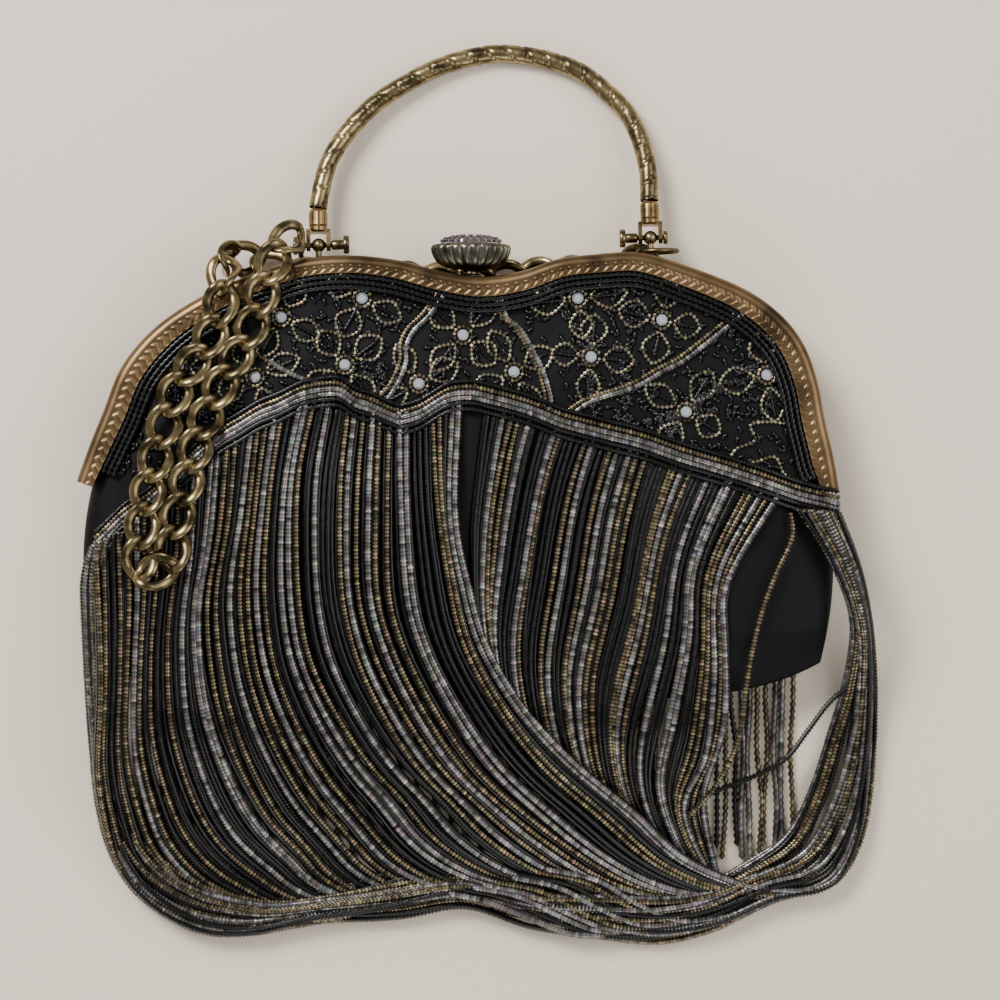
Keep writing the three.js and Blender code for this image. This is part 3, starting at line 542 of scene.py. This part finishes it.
frameHalf(1, "frameFront", ["frame_front"])
frameHalf(-1, "frameBack", ["frame_back"])
print("frame made")


# The satin pouch: columns u from side to side, levels v from the bottom up to the frame
def pouchPoints(u, v, side, inset):
    t = 0.012 + 0.976 * (1 + u) / 2
    share = u * (1 - inset / rightReach)
    edge = np.abs(u) ** 8
    mouth = onFrame(t, faceWidth(t) - tuck + inset * (1 - edge))
    mouth[:, 0] -= np.sign(u) * inset * edge
    waist = spot(share * 1.02 + 0.02 * (1 - u * u), -0.15 - 0.02 * u * u)
    bottom = spot(share * 0.95, -0.455 + 0.08 * np.abs(u) ** 5)
    bottom[:, 1] += inset
    flat = (bottom * (1 - v) + waist * v) * (1 - v) + (waist * (1 - v) + mouth * v) * v
    held = frameDepth - frameSheet - clearance + halfGap
    full = (0.42 + 0.58 * smoothStep(0, 0.22, v)) * (
        pouchHalf + (held - pouchHalf) * smoothStep(0.8, 0.965, v))
    fold =0.35 * np.sin(flat[:, 0] * 0.33 + 2.1 * np.sin(flat[:, 1] * 0.09)) * np.sin(math.pi * v)
    z = midZ + side * (full - inset + fold * (inset == 0) - 0.2) * np.sqrt(np.maximum(0, 1 - u**6))
    return np.column_stack([flat, z])


# The pouch's outer wall from the bottom up, then its inner wall back down, closed to one skin
def pouchShell():
    columns = 111
    u = np.sin(np.linspace(-0.5, 0.5, columns) * math.pi)
    around = np.concatenate([u, u[1:-1][::-1]])
    sides = np.concatenate([np.ones(columns), -np.ones(columns - 2)])
    rings = []
    for inset, levels in ((0, np.linspace(0, 1, 60)), (clothWall, np.linspace(1, 0, 12))):
        for v in levels:
            front = pouchPoints(around, v, 1, inset)
            back = pouchPoints(around, v, -1, inset)
            rings.append(np.where(sides[:, None] > 0, front, back))
    return np.stack(rings).reshape(-1, 3), gridFaces(len(rings), len(around), True, True)


pouchGrid, pouchFaces = pouchShell()
addMesh("pouchSatin", pouchGrid, pouchFaces, satin, {"body": "root", "slot": "satin", "replaces": ["pouch"]})
pouchTree = BVHTree.FromPolygons([Vector(p) for p in pouchGrid.tolist()], pouchFaces.tolist())


# Height of the satin's front under a place; off the satin it is the layer's floor
def onSatin(flat):
    heights = []
    for x, y in flat:
        hit = pouchTree.ray_cast(Vector((x, y, 60)), Vector((0, 0, -1)))[0]
        heights.append(hit.z if hit is not None else layerFloor - 2)
    return np.array(heights)


# A line of beads sewn on the yoke, from a picture line
def onYoke(pixels, lift):
    flat = evenSteps(picked(pixels), 1.0)
    return np.column_stack([flat, np.maximum(onSatin(flat), 20.5) + lift])


# The yoke's lower border left and right of its point, and the lines that part its fields
borderLeft = [
    (95, 545), (110, 530), (120, 520), (130, 512), (145, 504), (182, 470), (220, 437), (240, 425),
    (260, 413), (280, 405), (300, 395), (315, 391), (340, 390), (355, 400), (370, 405), (385, 412),
    (400, 418),
]
borderRight = [
    (400, 418), (420, 412), (440, 400), (450, 395), (470, 393), (490, 397), (520, 405), (540, 412),
    (560, 420), (600, 431), (640, 441), (680, 455), (720, 467), (760, 480), (800, 494), (840, 504),
]
dividers = [
    [(441, 293), (425, 315), (410, 330), (403, 345), (403, 360), (398, 375), (390, 390), (380, 403)],
    [(497, 294), (505, 318), (515, 325), (525, 340), (533, 355), (540, 370), (545, 385), (548, 400),
     (545, 412)],
    [(741, 312), (715, 333), (700, 345), (680, 360), (660, 370), (640, 382), (620, 390), (600, 396),
     (585, 402), (570, 412)],
    [(265, 358), (270, 362), (300, 378), (330, 385), (345, 392)],
]
# Rows of the border: pixels below its line, tint and height over the satin in millimetres
borderRows = [(0, silverTint, 3.2), (-6, bronzeTint, 2.4), (5, silverTint, 2.7), (10, blackTint, 2.9),
              (16, blackTint, 2.6), (-12, blackTint, 1.6)]
edging, edgingTints = [], []
for line in (borderLeft, borderRight):
    for offset, tint, lift in borderRows:
        edging.append(onYoke([(x, y + offset) for x, y in line], lift))
        edgingTints.append(tint)
for line in dividers:
    for offset, tint in ((-3, bronzeTint), (3, silverTint)):
        edging.append(onYoke([(x + offset, y + offset * 0.4) for x, y in line], 0.7))
        edgingTints.append(tint)
beadStrands("yokeLines", edging, edgingTints, beadSpec, belly=0.85)

# The corded piping just inside the frame, wound with black beads: each row's depth and height
piping = {"rows": ((0.9, 21.4), (2.5, 21.9), (4.0, 22.3)), "belly": 1.0, "pitch": 1.6}
pipingT = np.linspace(0.02, 0.98, 260)
pipingRows = [np.column_stack([onFrame(pipingT, faceWidth(pipingT) + depth), np.full(260, height)])
              for depth, height in piping["rows"]]
beadStrands("yokePiping", pipingRows, [blackTint] * 3, beadSpec, belly=piping["belly"],
            pitch=piping["pitch"])

# Black bugles and seeds sewn close over the whole yoke between the flowers
filler = {"count": 1150, "half": 1.3, "lift": 0.45, "belly": 0.7, "pitch": 1.3, "waist": 0.9}
fillers = []
while len(fillers) < filler["count"]:
    t = seed.uniform(0.03, 0.97)
    place = onFrame(t, faceWidth(t) + seed.uniform(2, 52))[0]
    borderY = np.interp(place[0], *picked(borderLeft + borderRight[1:]).T)
    if place[1] < borderY + 2.5:
        continue
    turn = seed.uniform(0, math.pi)
    ends = place + np.array([[-filler["half"]], [0], [filler["half"]]]) * [math.cos(turn), math.sin(turn)]
    fillers.append(np.column_stack([ends, onSatin(ends) + filler["lift"]]))
beadStrands("yokeFillers", fillers, [blackTint] * len(fillers), beadSpec, around=5, belly=filler["belly"],
            pitch=filler["pitch"], waist=filler["waist"])

# Places of the set stones in picture pixels
stonePixels = [(178, 366), (255, 377), (281, 317), (345, 365), (362, 298), (419, 384), (463, 335),
               (514, 372), (578, 298), (591, 357), (662, 320), (686, 412), (767, 375)]
stonePlaces = picked(stonePixels)
stoneHeights = onSatin(stonePlaces) + 0.2


# A brilliant-cut stone: rings of eight corners with radius, height and turn, round a flat table
def stonePoints():
    rows = [(1.8, 0.0, 0.5), (1.8, 0.35, 0.5), (1.5, 1.0, 0.0), (1.0, 1.55, 0.5)]
    turn = np.arange(8) * math.pi / 4
    points = [np.stack([r * np.cos(turn + o * math.pi / 4), r * np.sin(turn + o * math.pi / 4),
                        np.full(8, z)], 1) for r, z, o in rows]
    return np.vstack(points + [[[0, 0, 1.55]]])


stoneTable = [[24 + i, 24 + (i + 1) % 8, 32] for i in range(8)]
for number, (place, height) in enumerate(zip(stonePlaces, stoneHeights), 1):
    addMesh("stone%02d" % number, stonePoints() + [place[0], place[1], height], gridFaces(4, 8), stoneGlass,
            {"body": "root", "slot": "yoke_stones", "replaces": ["stone_%02d" % number]}, smooth=False,
            caps=stoneTable)

# Flowers round the stones, in picture pixels: four teardrop petals of seed beads with a black vein, and a
# ring round each stone. A petal that would leave the yoke is left out.
flower = {"ring": 9, "start": 12, "reach": (38, 50), "half": (11, 14), "lift": 0.7}
petals, petalTints = [], []
for px, py in stonePixels:
    circle = [(px + flower["ring"] * math.cos(a), py + flower["ring"] * math.sin(a))
              for a in np.linspace(0, 2 * math.pi, 12)]
    petals.append(onYoke(circle, 0.75))
    petalTints.append(bronzeTint)
    lean = seed.uniform(0, 2 * math.pi)
    for petalTurn in np.arange(4) * math.pi / 2 + lean:
        reach = seed.uniform(*flower["reach"])
        half = seed.uniform(*flower["half"])
        room = reach - flower["start"]
        outline = []
        for a in np.linspace(0, 2 * math.pi, 13):
            along = flower["start"] + room * (1 - math.cos(a)) / 2
            swell = math.sin(min(math.pi, (along - flower["start"]) / room * math.pi) * 0.8 + 0.25)
            beside = half * math.sin(a) * swell
            outline.append((px + along * math.cos(petalTurn) - beside * math.sin(petalTurn),
                            py + along * math.sin(petalTurn) + beside * math.cos(petalTurn)))
        if not all(pouchTree.ray_cast(Vector((x, y, 60)), Vector((0, 0, -1)))[0] is not None
                   and y > 8 for x, y in picked(outline)):
            continue
        petals.append(onYoke(outline, flower["lift"]))
        petalTints.append(petalTint)
        vein = [(px + r * math.cos(petalTurn), py + r * math.sin(petalTurn))
                for r in (15, reach * 0.5, reach - 5)]
        petals.append(onYoke(vein, flower["lift"]))
        petalTints.append(blackTint)
scroll = [(795, 425), (770, 422), (750, 425), (755, 440), (735, 450), (730, 462), (755, 462), (775, 457),
          (785, 475), (805, 480), (818, 470)]
petals.append(onYoke(scroll, flower["lift"]))
petalTints.append(petalTint)
beadStrands("yokePetals", petals, petalTints, beadSpec, belly=0.66, pitch=1.25, waist=0.3)
print("yoke made")

# The pivots' own frame: X runs through both pivots, and the handle hangs back to the floor from it
pivotPlace = np.array([1.2, 73.5, 10.4])
pivotLean = math.radians(1.3)
handleTilt = math.radians(8.2)
halfSpan = 47.0


def fromPivots(points, tilted=False):
    points = np.asarray(points, float).copy()
    if tilted:
        y = points[:, 1] * math.cos(handleTilt) + points[:, 2] * math.sin(handleTilt)
        z = -points[:, 1] * math.sin(handleTilt) + points[:, 2] * math.cos(handleTilt)
        points[:, 1], points[:, 2] = y, z
    x = points[:, 0] * math.cos(pivotLean) - points[:, 1] * math.sin(pivotLean)
    y = points[:, 0] * math.sin(pivotLean) + points[:, 1] * math.cos(pivotLean)
    return np.column_stack([x, y, points[:, 2]]) + pivotPlace


handleArch = np.array([
    [-1, 0.16], [-0.976, 0.305], [-0.926, 0.447], [-0.815, 0.595], [-0.646, 0.745], [-0.473, 0.842],
    [-0.247, 0.937], [-0.021, 0.989], [0.122, 1], [0.372, 0.969], [0.598, 0.895], [0.762, 0.779],
    [0.89, 0.653], [0.961, 0.505], [0.997, 0.355], [1, 0.16],
]) * [halfSpan, 54.6]
handleArch[[0, -1], 1] = 10.7


engraving = {"step": 0.19, "winding": 11, "groove": 0.22, "blade": 0.14, "bladeLength": 2.2, "radius": 2.6}


# The handle's tube, engraved: leaf blades wind round it between two fine grooves
def handleTube():
    path = evenSteps(handleArch, engraving["step"])
    path = np.column_stack([path, np.zeros(len(path))])
    along, beside, above = sidesOf(path)
    around = 28
    turn = np.arange(around) * 2 * math.pi / around
    run = np.arange(len(path))[:, None] * engraving["step"]
    wind = turn[None, :] + run * 2 * math.pi / engraving["winding"]
    groove = engraving["groove"] * np.exp(-((np.mod(wind / (2 * math.pi), 0.5) - 0.25) / 0.035) ** 2)
    blade = engraving["blade"] * np.maximum(
        0, np.sin(run * 2 * math.pi / engraving["bladeLength"] + 2 * np.abs(np.sin(wind)) * 2))
    radius = engraving["radius"] - groove - blade * np.abs(np.sin(wind)) ** 2
    ring = np.cos(turn)[None, :, None] * beside[:, None] + np.sin(turn)[None, :, None] * above[:, None]
    points = (path[:, None] + radius[:, :, None] * ring).reshape(-1, 3)
    return fromPivots(points, True), gridFaces(len(path), around)


tubePoints, tubeFaces = handleTube()
addMesh("handleArch", tubePoints, tubeFaces, oldBrass,
        {"body": "handle", "slot": "old_brass", "replaces": ["handle_arch"]})


# A turned piece round the pivots' X or the ferrule's Y: rows of station and radius
def turned(rows, axis, around=28):
    rows = np.array(rows, float)
    turn = np.arange(around) * 2 * math.pi / around
    r = rows[:, 1][:, None]
    c, s = r * np.cos(turn), r * np.sin(turn)
    station = np.broadcast_to(rows[:, 0][:, None], c.shape)
    parts = (station, c, s) if axis == "x" else (c, station, s)
    return np.stack(parts, -1).reshape(-1, 3), gridFaces(len(rows), around)


def boxOf(centre, size):
    corners = np.array([[x, y, z] for x in (-1, 1) for y in (-1, 1) for z in (-1, 1)]) * np.array(size) / 2
    faces = np.array([[0, 1, 3, 2], [4, 6, 7, 5], [0, 4, 5, 1], [2, 3, 7, 6], [0, 2, 6, 4], [1, 5, 7, 3]])
    return corners + centre, faces


def joined(parts):
    points, faces, start = [], [], 0
    for p, f in parts:
        points.append(p)
        faces.append(f + start)
        start += len(p)
    return np.vstack(points), np.vstack(faces)


# Forked ferrules and ball lugs, by station and radius from the pivots
ferrule = {
    "body": [(3.7, 0.01), (3.7, 2.3), (4.0, 2.6), (5.0, 2.65), (5.3, 2.45), (5.6, 2.65), (9.4, 2.65),
             (9.8, 2.4), (10.1, 2.3), (10.1, 0.01)],
    "bridge": [6.8, 0.9, 3.2], "bridgeLevel": 4.0,
    "ear": [1.1, 4.2, 3.2], "earPlace": 2.85, "earLevel": 1.8, "earRound": 1.7,
}
lug = {
    "ball": 2,
    "barrel": [(3.7, 0.01), (3.7, 1.2), (4.1, 1.4), (6.7, 1.4), (7.1, 1.2), (7.1, 2.4), (7.4, 2.6),
               (8.4, 2.6), (8.7, 2.4), (8.7, 0.01)],
    "pin": [(-3.7, 0.01), (-3.7, 0.75), (3.7, 0.75), (3.7, 0.01)],
    "left": [(-7.1, 0.01), (-7.1, 2.6), (-6.1, 2.6), (-6.1, 1.4), (-3.7, 1.4), (-3.7, 0.01)],
    "right": [(-4.8, 0.01), (-4.8, 1.87), (-3.7, 1.87), (-3.7, 0.01)],
    "stem": [(-6.0, 0.01), (-6.0, 1.3), (-4.6, 0.8), (0, 1.0)],
}
ball = [(-lug["ball"] * math.cos(a), max(0.01, lug["ball"] * math.sin(a)))
        for a in np.linspace(0, math.pi, 14)]
earHalf = ferrule["ear"][0] / 2
earEnd = [(-earHalf, 0.01), (-earHalf, ferrule["earRound"]), (earHalf, ferrule["earRound"]), (earHalf, 0.01)]
for side, word in ((-1, "left"), (1, "right")):
    parts = [turned(ferrule["body"], "y"), boxOf([0, ferrule["bridgeLevel"], 0], ferrule["bridge"])]
    for to in (-1, 1):
        earX = to * ferrule["earPlace"]
        parts.append(boxOf([earX, ferrule["earLevel"], 0], ferrule["ear"]))
        disc = turned(earEnd, "x")
        parts.append((disc[0] + [earX, 0, 0], disc[1]))
    points, faces = joined(parts)
    addMesh("ferrule" + word.capitalize(), fromPivots(points + [side * halfSpan, 0, 0], True), faces,
            ferruleBrass, {"body": "handle", "slot": "ferrule_brass", "replaces": ["ferrule_" + word]},
            smooth=False)
    parts = [turned([(station * -side, r) for station, r in lug[piece]], "x")
             for piece in ("barrel", "pin", word)]
    parts += [turned(ball, "x"), turned(lug["stem"], "y")]
    points, faces = joined(parts)
    addMesh("lug" + word.capitalize(), fromPivots(points + [side * halfSpan, 0, 0]), faces, oldBrass,
            {"body": "root", "slot": "old_brass", "replaces": ["lug_" + word]})
print("handle made")

# The clasp: a fluted oval bell on a neck, with a crown paved with small stones
clasp = {"halfWide": 11.4, "halfDeep": 6.25, "tall": 6.6, "foot": 1.6, "halfFlutes": 12, "crown": 1.9}
claspBase = np.array([-2.6, hingeLevel + 0.894 * humpHeight + 0.72, midZ])


# Oval rings of shares of the clasp's width and height; the flutes cut in deepest at half height
def claspCup():
    rows = np.array([[0.46, 0], [0.6, 0.05], [0.74, 0.16], [0.86, 0.32], [0.93, 0.5], [0.98, 0.7], [1, 0.86],
                     [0.99, 0.95], [0.95, 1.04], [0.8, 1.1], [0.5, 1.1], [0.01, 1.1]])
    around = 24 * clasp["halfFlutes"]
    a = np.arange(around) * 2 * math.pi / around
    wave = np.abs(np.sin(a * clasp["halfFlutes"])) ** 0.6
    points = []
    for wide, tall in rows:
        deep = 0.13 * math.sin(math.pi * min(1, tall / 1.1)) if tall < 1.08 else 0
        swell = 1 - deep * (1 - wave)
        points.append(np.column_stack([wide * clasp["halfWide"] * swell * np.cos(a),
                                       np.full(around, tall * clasp["tall"]),
                                       wide * clasp["halfDeep"] * swell * np.sin(a)]))
    return np.vstack(points) + claspBase + [0, clasp["foot"], 0], gridFaces(len(rows), around)


points, faces = claspCup()
addMesh("claspCup", points, faces, claspMetal,
        {"body": "root", "slot": "clasp_metal", "replaces": ["clasp_cup"]})
neck = turned([(0, 0.01), (0, 2.5), (0.65, 2.1), (1.3, 2.2), (1.3, 0.01)], "y")
addMesh("claspNeck", neck[0] + claspBase, neck[1], oldBrass,
        {"body": "root", "slot": "old_brass", "replaces": ["clasp_neck"]})
crownBase = claspBase + [0, clasp["foot"] + 7.26 + clearance, 0]
crownRows = [(0.74, 0), (0.7, 0.4), (0.52, 0.78), (0.24, 1)]
core = []
crownTurn = np.arange(40) * 2 * math.pi / 40
for wide, tall in [(0.01, 0)] + [(w * 0.94, t) for w, t in crownRows] + [(0.01, 1)]:
    core.append(np.column_stack([wide * clasp["halfWide"] * np.cos(crownTurn),
                                 np.full(40, tall * clasp["crown"]),
                                 wide * clasp["halfDeep"] * np.sin(crownTurn)]))
crownParts = [(np.vstack(core) + crownBase, gridFaces(len(core), 40))]
for wide, tall in ((0.72, 0.25), (0.64, 0.6), (0.46, 0.86), (0.24, 1.0), (0.05, 1.0)):
    count = max(1, int(round(2 * math.pi * wide * 8.8 / 1.6)))
    for a in np.arange(count) * 2 * math.pi / count:
        stone = turned([(-0.5, 0.3), (0.1, 0.62), (0.4, 0.4), (0.45, 0.01)], "y", 8)
        place = crownBase + [wide * clasp["halfWide"] * math.cos(a), tall * clasp["crown"],
                             wide * clasp["halfDeep"] * math.sin(a)]
        crownParts.append((stone[0] + place, stone[1]))
points, faces = joined(crownParts)
addMesh("claspCrown", points, faces, crownGlass,
        {"body": "root", "slot": "clasp_stones", "replaces": ["clasp_crown"]}, smooth=False)
print("clasp made")

# Route of the chain: from the right pivot's ring behind the frame, over its left hump, down the front,
# round the lowest link and back up to the left pivot's ring. Chosen points.
chainRoute = [
    [48.4, 70.1, 5.1], [45.2, 67.2, 3.9], [40, 65.6, 3.1], [30, 65, 2.8], [15, 64.4, 2.7], [0, 63, 2.7],
    [-15, 63, 2.7], [-30, 63.6, 2.7], [-45, 63.8, 2.8], [-57, 65.6, 3.2], [-66, 68.6, 6.5],
    [-71.2, 69.2, 14], [-71.8, 66, 22.6], [-71.5, 58, 26.3], [-74, 47.5, 25.9], [-79, 39, 25.7],
    [-84.8, 32, 25.7], [-87.5, 22, 26.2], [-90.2, 12, 27.9], [-92.4, 3, 28.3], [-93.8, -8, 28.3],
    [-95.4, -18, 28.3], [-91, -25.4, 28.3], [-85.6, -19, 28.3], [-85.8, -10, 28.3],
    [-83.4, -1, 28.3], [-80.8, 8, 28.3], [-78.8, 17, 27.6], [-75, 26.5, 25.9], [-71, 35.5, 25.7],
    [-65.8, 44, 25.7], [-62.2, 52.5, 25.9], [-59.9, 61, 26.4], [-57.3, 68.4, 26.2], [-53.8, 73.6, 22.4],
    [-50.6, 75.9, 17.9],
]


# A closed ring of wire round its middle line
def wireRing(middle, normal, wide, thick, around=10):
    along = np.roll(middle, -1, axis=0) - np.roll(middle, 1, axis=0)
    along /= np.linalg.norm(along, axis=1, keepdims=True)
    out = np.cross(along, normal)
    out /= np.linalg.norm(out, axis=1, keepdims=True)
    turn = np.arange(around) * 2 * math.pi / around
    points = (middle[:, None] + wide * np.cos(turn)[None, :, None] * out[:, None]
              + thick * np.sin(turn)[None, :, None] * normal[:, None])
    return points.reshape(-1, 3), gridFaces(len(middle), around, True, True)


# A curb link: an oval whose plane twists from one end to the other
link = {"halfLong": 5.8, "halfWide": 3.95, "twist": 42, "wireWide": 1.5, "wireThick": 0.8, "pitch": 9.47}
linkTurn = np.arange(32) * 2 * math.pi / 32
linkLean = math.radians(link["twist"]) * np.cos(linkTurn)
linkMiddle = np.column_stack([link["halfLong"] * np.cos(linkTurn),
                              link["halfWide"] * np.sin(linkTurn) * np.cos(linkLean),
                              link["halfWide"] * np.sin(linkTurn) * np.sin(linkLean)])
linkNormal = np.column_stack([0 * linkLean, -np.sin(linkLean), np.cos(linkLean)])
linkPoints, linkFaces = wireRing(linkMiddle, linkNormal, link["wireWide"], link["wireThick"])
route = curveAt(chainRoute, np.linspace(0, 1, 9001))
joints = [route[0]]
for p in route:
    if np.linalg.norm(p - joints[-1]) >= link["pitch"]:
        joints.append(p)

# Links from joint to joint. The side turns on from link to link and is drawn to the level where it can be.
chainParts = []
side = np.array([0.0, 1.0, 0.0])
for a, b in zip(joints[:-1], joints[1:]):
    along = (b - a) / np.linalg.norm(b - a)
    side = side - along * side.dot(along)
    side /= np.linalg.norm(side)
    level = np.cross([0, 0, 1.0], along)
    if np.linalg.norm(level) > 0.35:
        level /= np.linalg.norm(level)
        level = -level if level.dot(side) < 0 else level
        side = side * 0.3 + level * 0.7
        side /= np.linalg.norm(side)
    up = np.cross(along, side)
    up /= np.linalg.norm(up)
    basis = np.stack([along, np.cross(up, along), up])
    chainParts.append((linkPoints @ basis + (a + b) / 2, linkFaces))

# The plain rings that hold the chain at both pivots
ring = {"halfLong": 5.55, "halfWide": 3.95, "wire": 0.75, "lean": 0.4}  # the left one's lean in radians
ringTurn = np.arange(36) * 2 * math.pi / 36
ringMiddle = np.column_stack([ring["halfLong"] * np.cos(ringTurn), ring["halfWide"] * np.sin(ringTurn),
                              0 * ringTurn])
ringPoints, ringFaces = wireRing(ringMiddle, np.tile([0.0, 0, 1], (36, 1)), ring["wire"], ring["wire"])
rightRing = np.column_stack([ringPoints[:, 0], -ringPoints[:, 2], ringPoints[:, 1]]) + [49, -3.8, -1.5]
leftRing = np.column_stack([-ringPoints[:, 2], ringPoints[:, 1], ringPoints[:, 0]]) + [0, 0, 3.1]
leanCos, leanSin = math.cos(ring["lean"]), math.sin(ring["lean"])
leftRing = np.column_stack([leftRing[:, 0] - 51.9, leftRing[:, 1] * leanCos + leftRing[:, 2] * leanSin,
                            -leftRing[:, 1] * leanSin + leftRing[:, 2] * leanCos])
chainParts += [(fromPivots(rightRing), ringFaces), (fromPivots(leftRing), ringFaces)]
points, faces = joined(chainParts)
addMesh("chainLinks", points, faces, oldBrass, {"body": "root", "slot": "old_brass", "replaces": ["chain"]})
print("chain made")

# Plain pale floor
floorMaterial = shaderOf("floorPaper", {"Base Color": colourOf("efe2cf"), "Roughness": 0.85})[0]
bpy.ops.mesh.primitive_plane_add(size=6, location=(0, 0, 0))
floor = bpy.context.object
floor.name = "floor"
floor.data.materials.append(floorMaterial)
floor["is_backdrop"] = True

world = bpy.data.worlds.new("studio")
bpy.context.scene.world = world
world.use_nodes = True
world.node_tree.nodes["Background"].inputs["Color"].default_value = colourOf("e8e6e2")
world.node_tree.nodes["Background"].inputs["Strength"].default_value = 0.55
lampSpecs = [
    {"name": "keyLamp", "place": (-0.55, 0.65, 0.95), "size": 0.5, "power": 17},
    {"name": "fillLamp", "place": (0.8, 0.2, 0.9), "size": 0.8, "power": 5.5},
    {"name": "lowLamp", "place": (0.1, -0.9, 0.7), "size": 0.6, "power": 3},
]
for spec in lampSpecs:
    lamp = bpy.data.lights.new(spec["name"], "AREA")
    lamp.size = spec["size"]
    lamp.energy = spec["power"]
    holder = bpy.data.objects.new(spec["name"], lamp)
    holder.location = spec["place"]
    holder.rotation_euler = (-Vector(spec["place"])).to_track_quat("-Z", "Y").to_euler()
    bpy.context.scene.collection.objects.link(holder)

# The camera looks straight down, one metre over the purse: a pixel is 0.28 mm at the fringe's height
camera = bpy.data.objects.new("camera", bpy.data.cameras.new("camera"))
camera.data.sensor_width = 36
camera.data.lens = 36 / pixelSize
middle = (np.array([5.6, 0.28, 0]) + shift) / 1000
camera.location = (middle[0], middle[1], 1.022)
bpy.context.scene.collection.objects.link(camera)
bpy.context.scene.camera = camera
print("stage made")

tally = {o.name: sum(len(p.vertices) - 2 for p in o.data.polygons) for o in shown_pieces()}
print("triangles in all %d, most in one piece %d" % (sum(tally.values()), max(tally.values())))
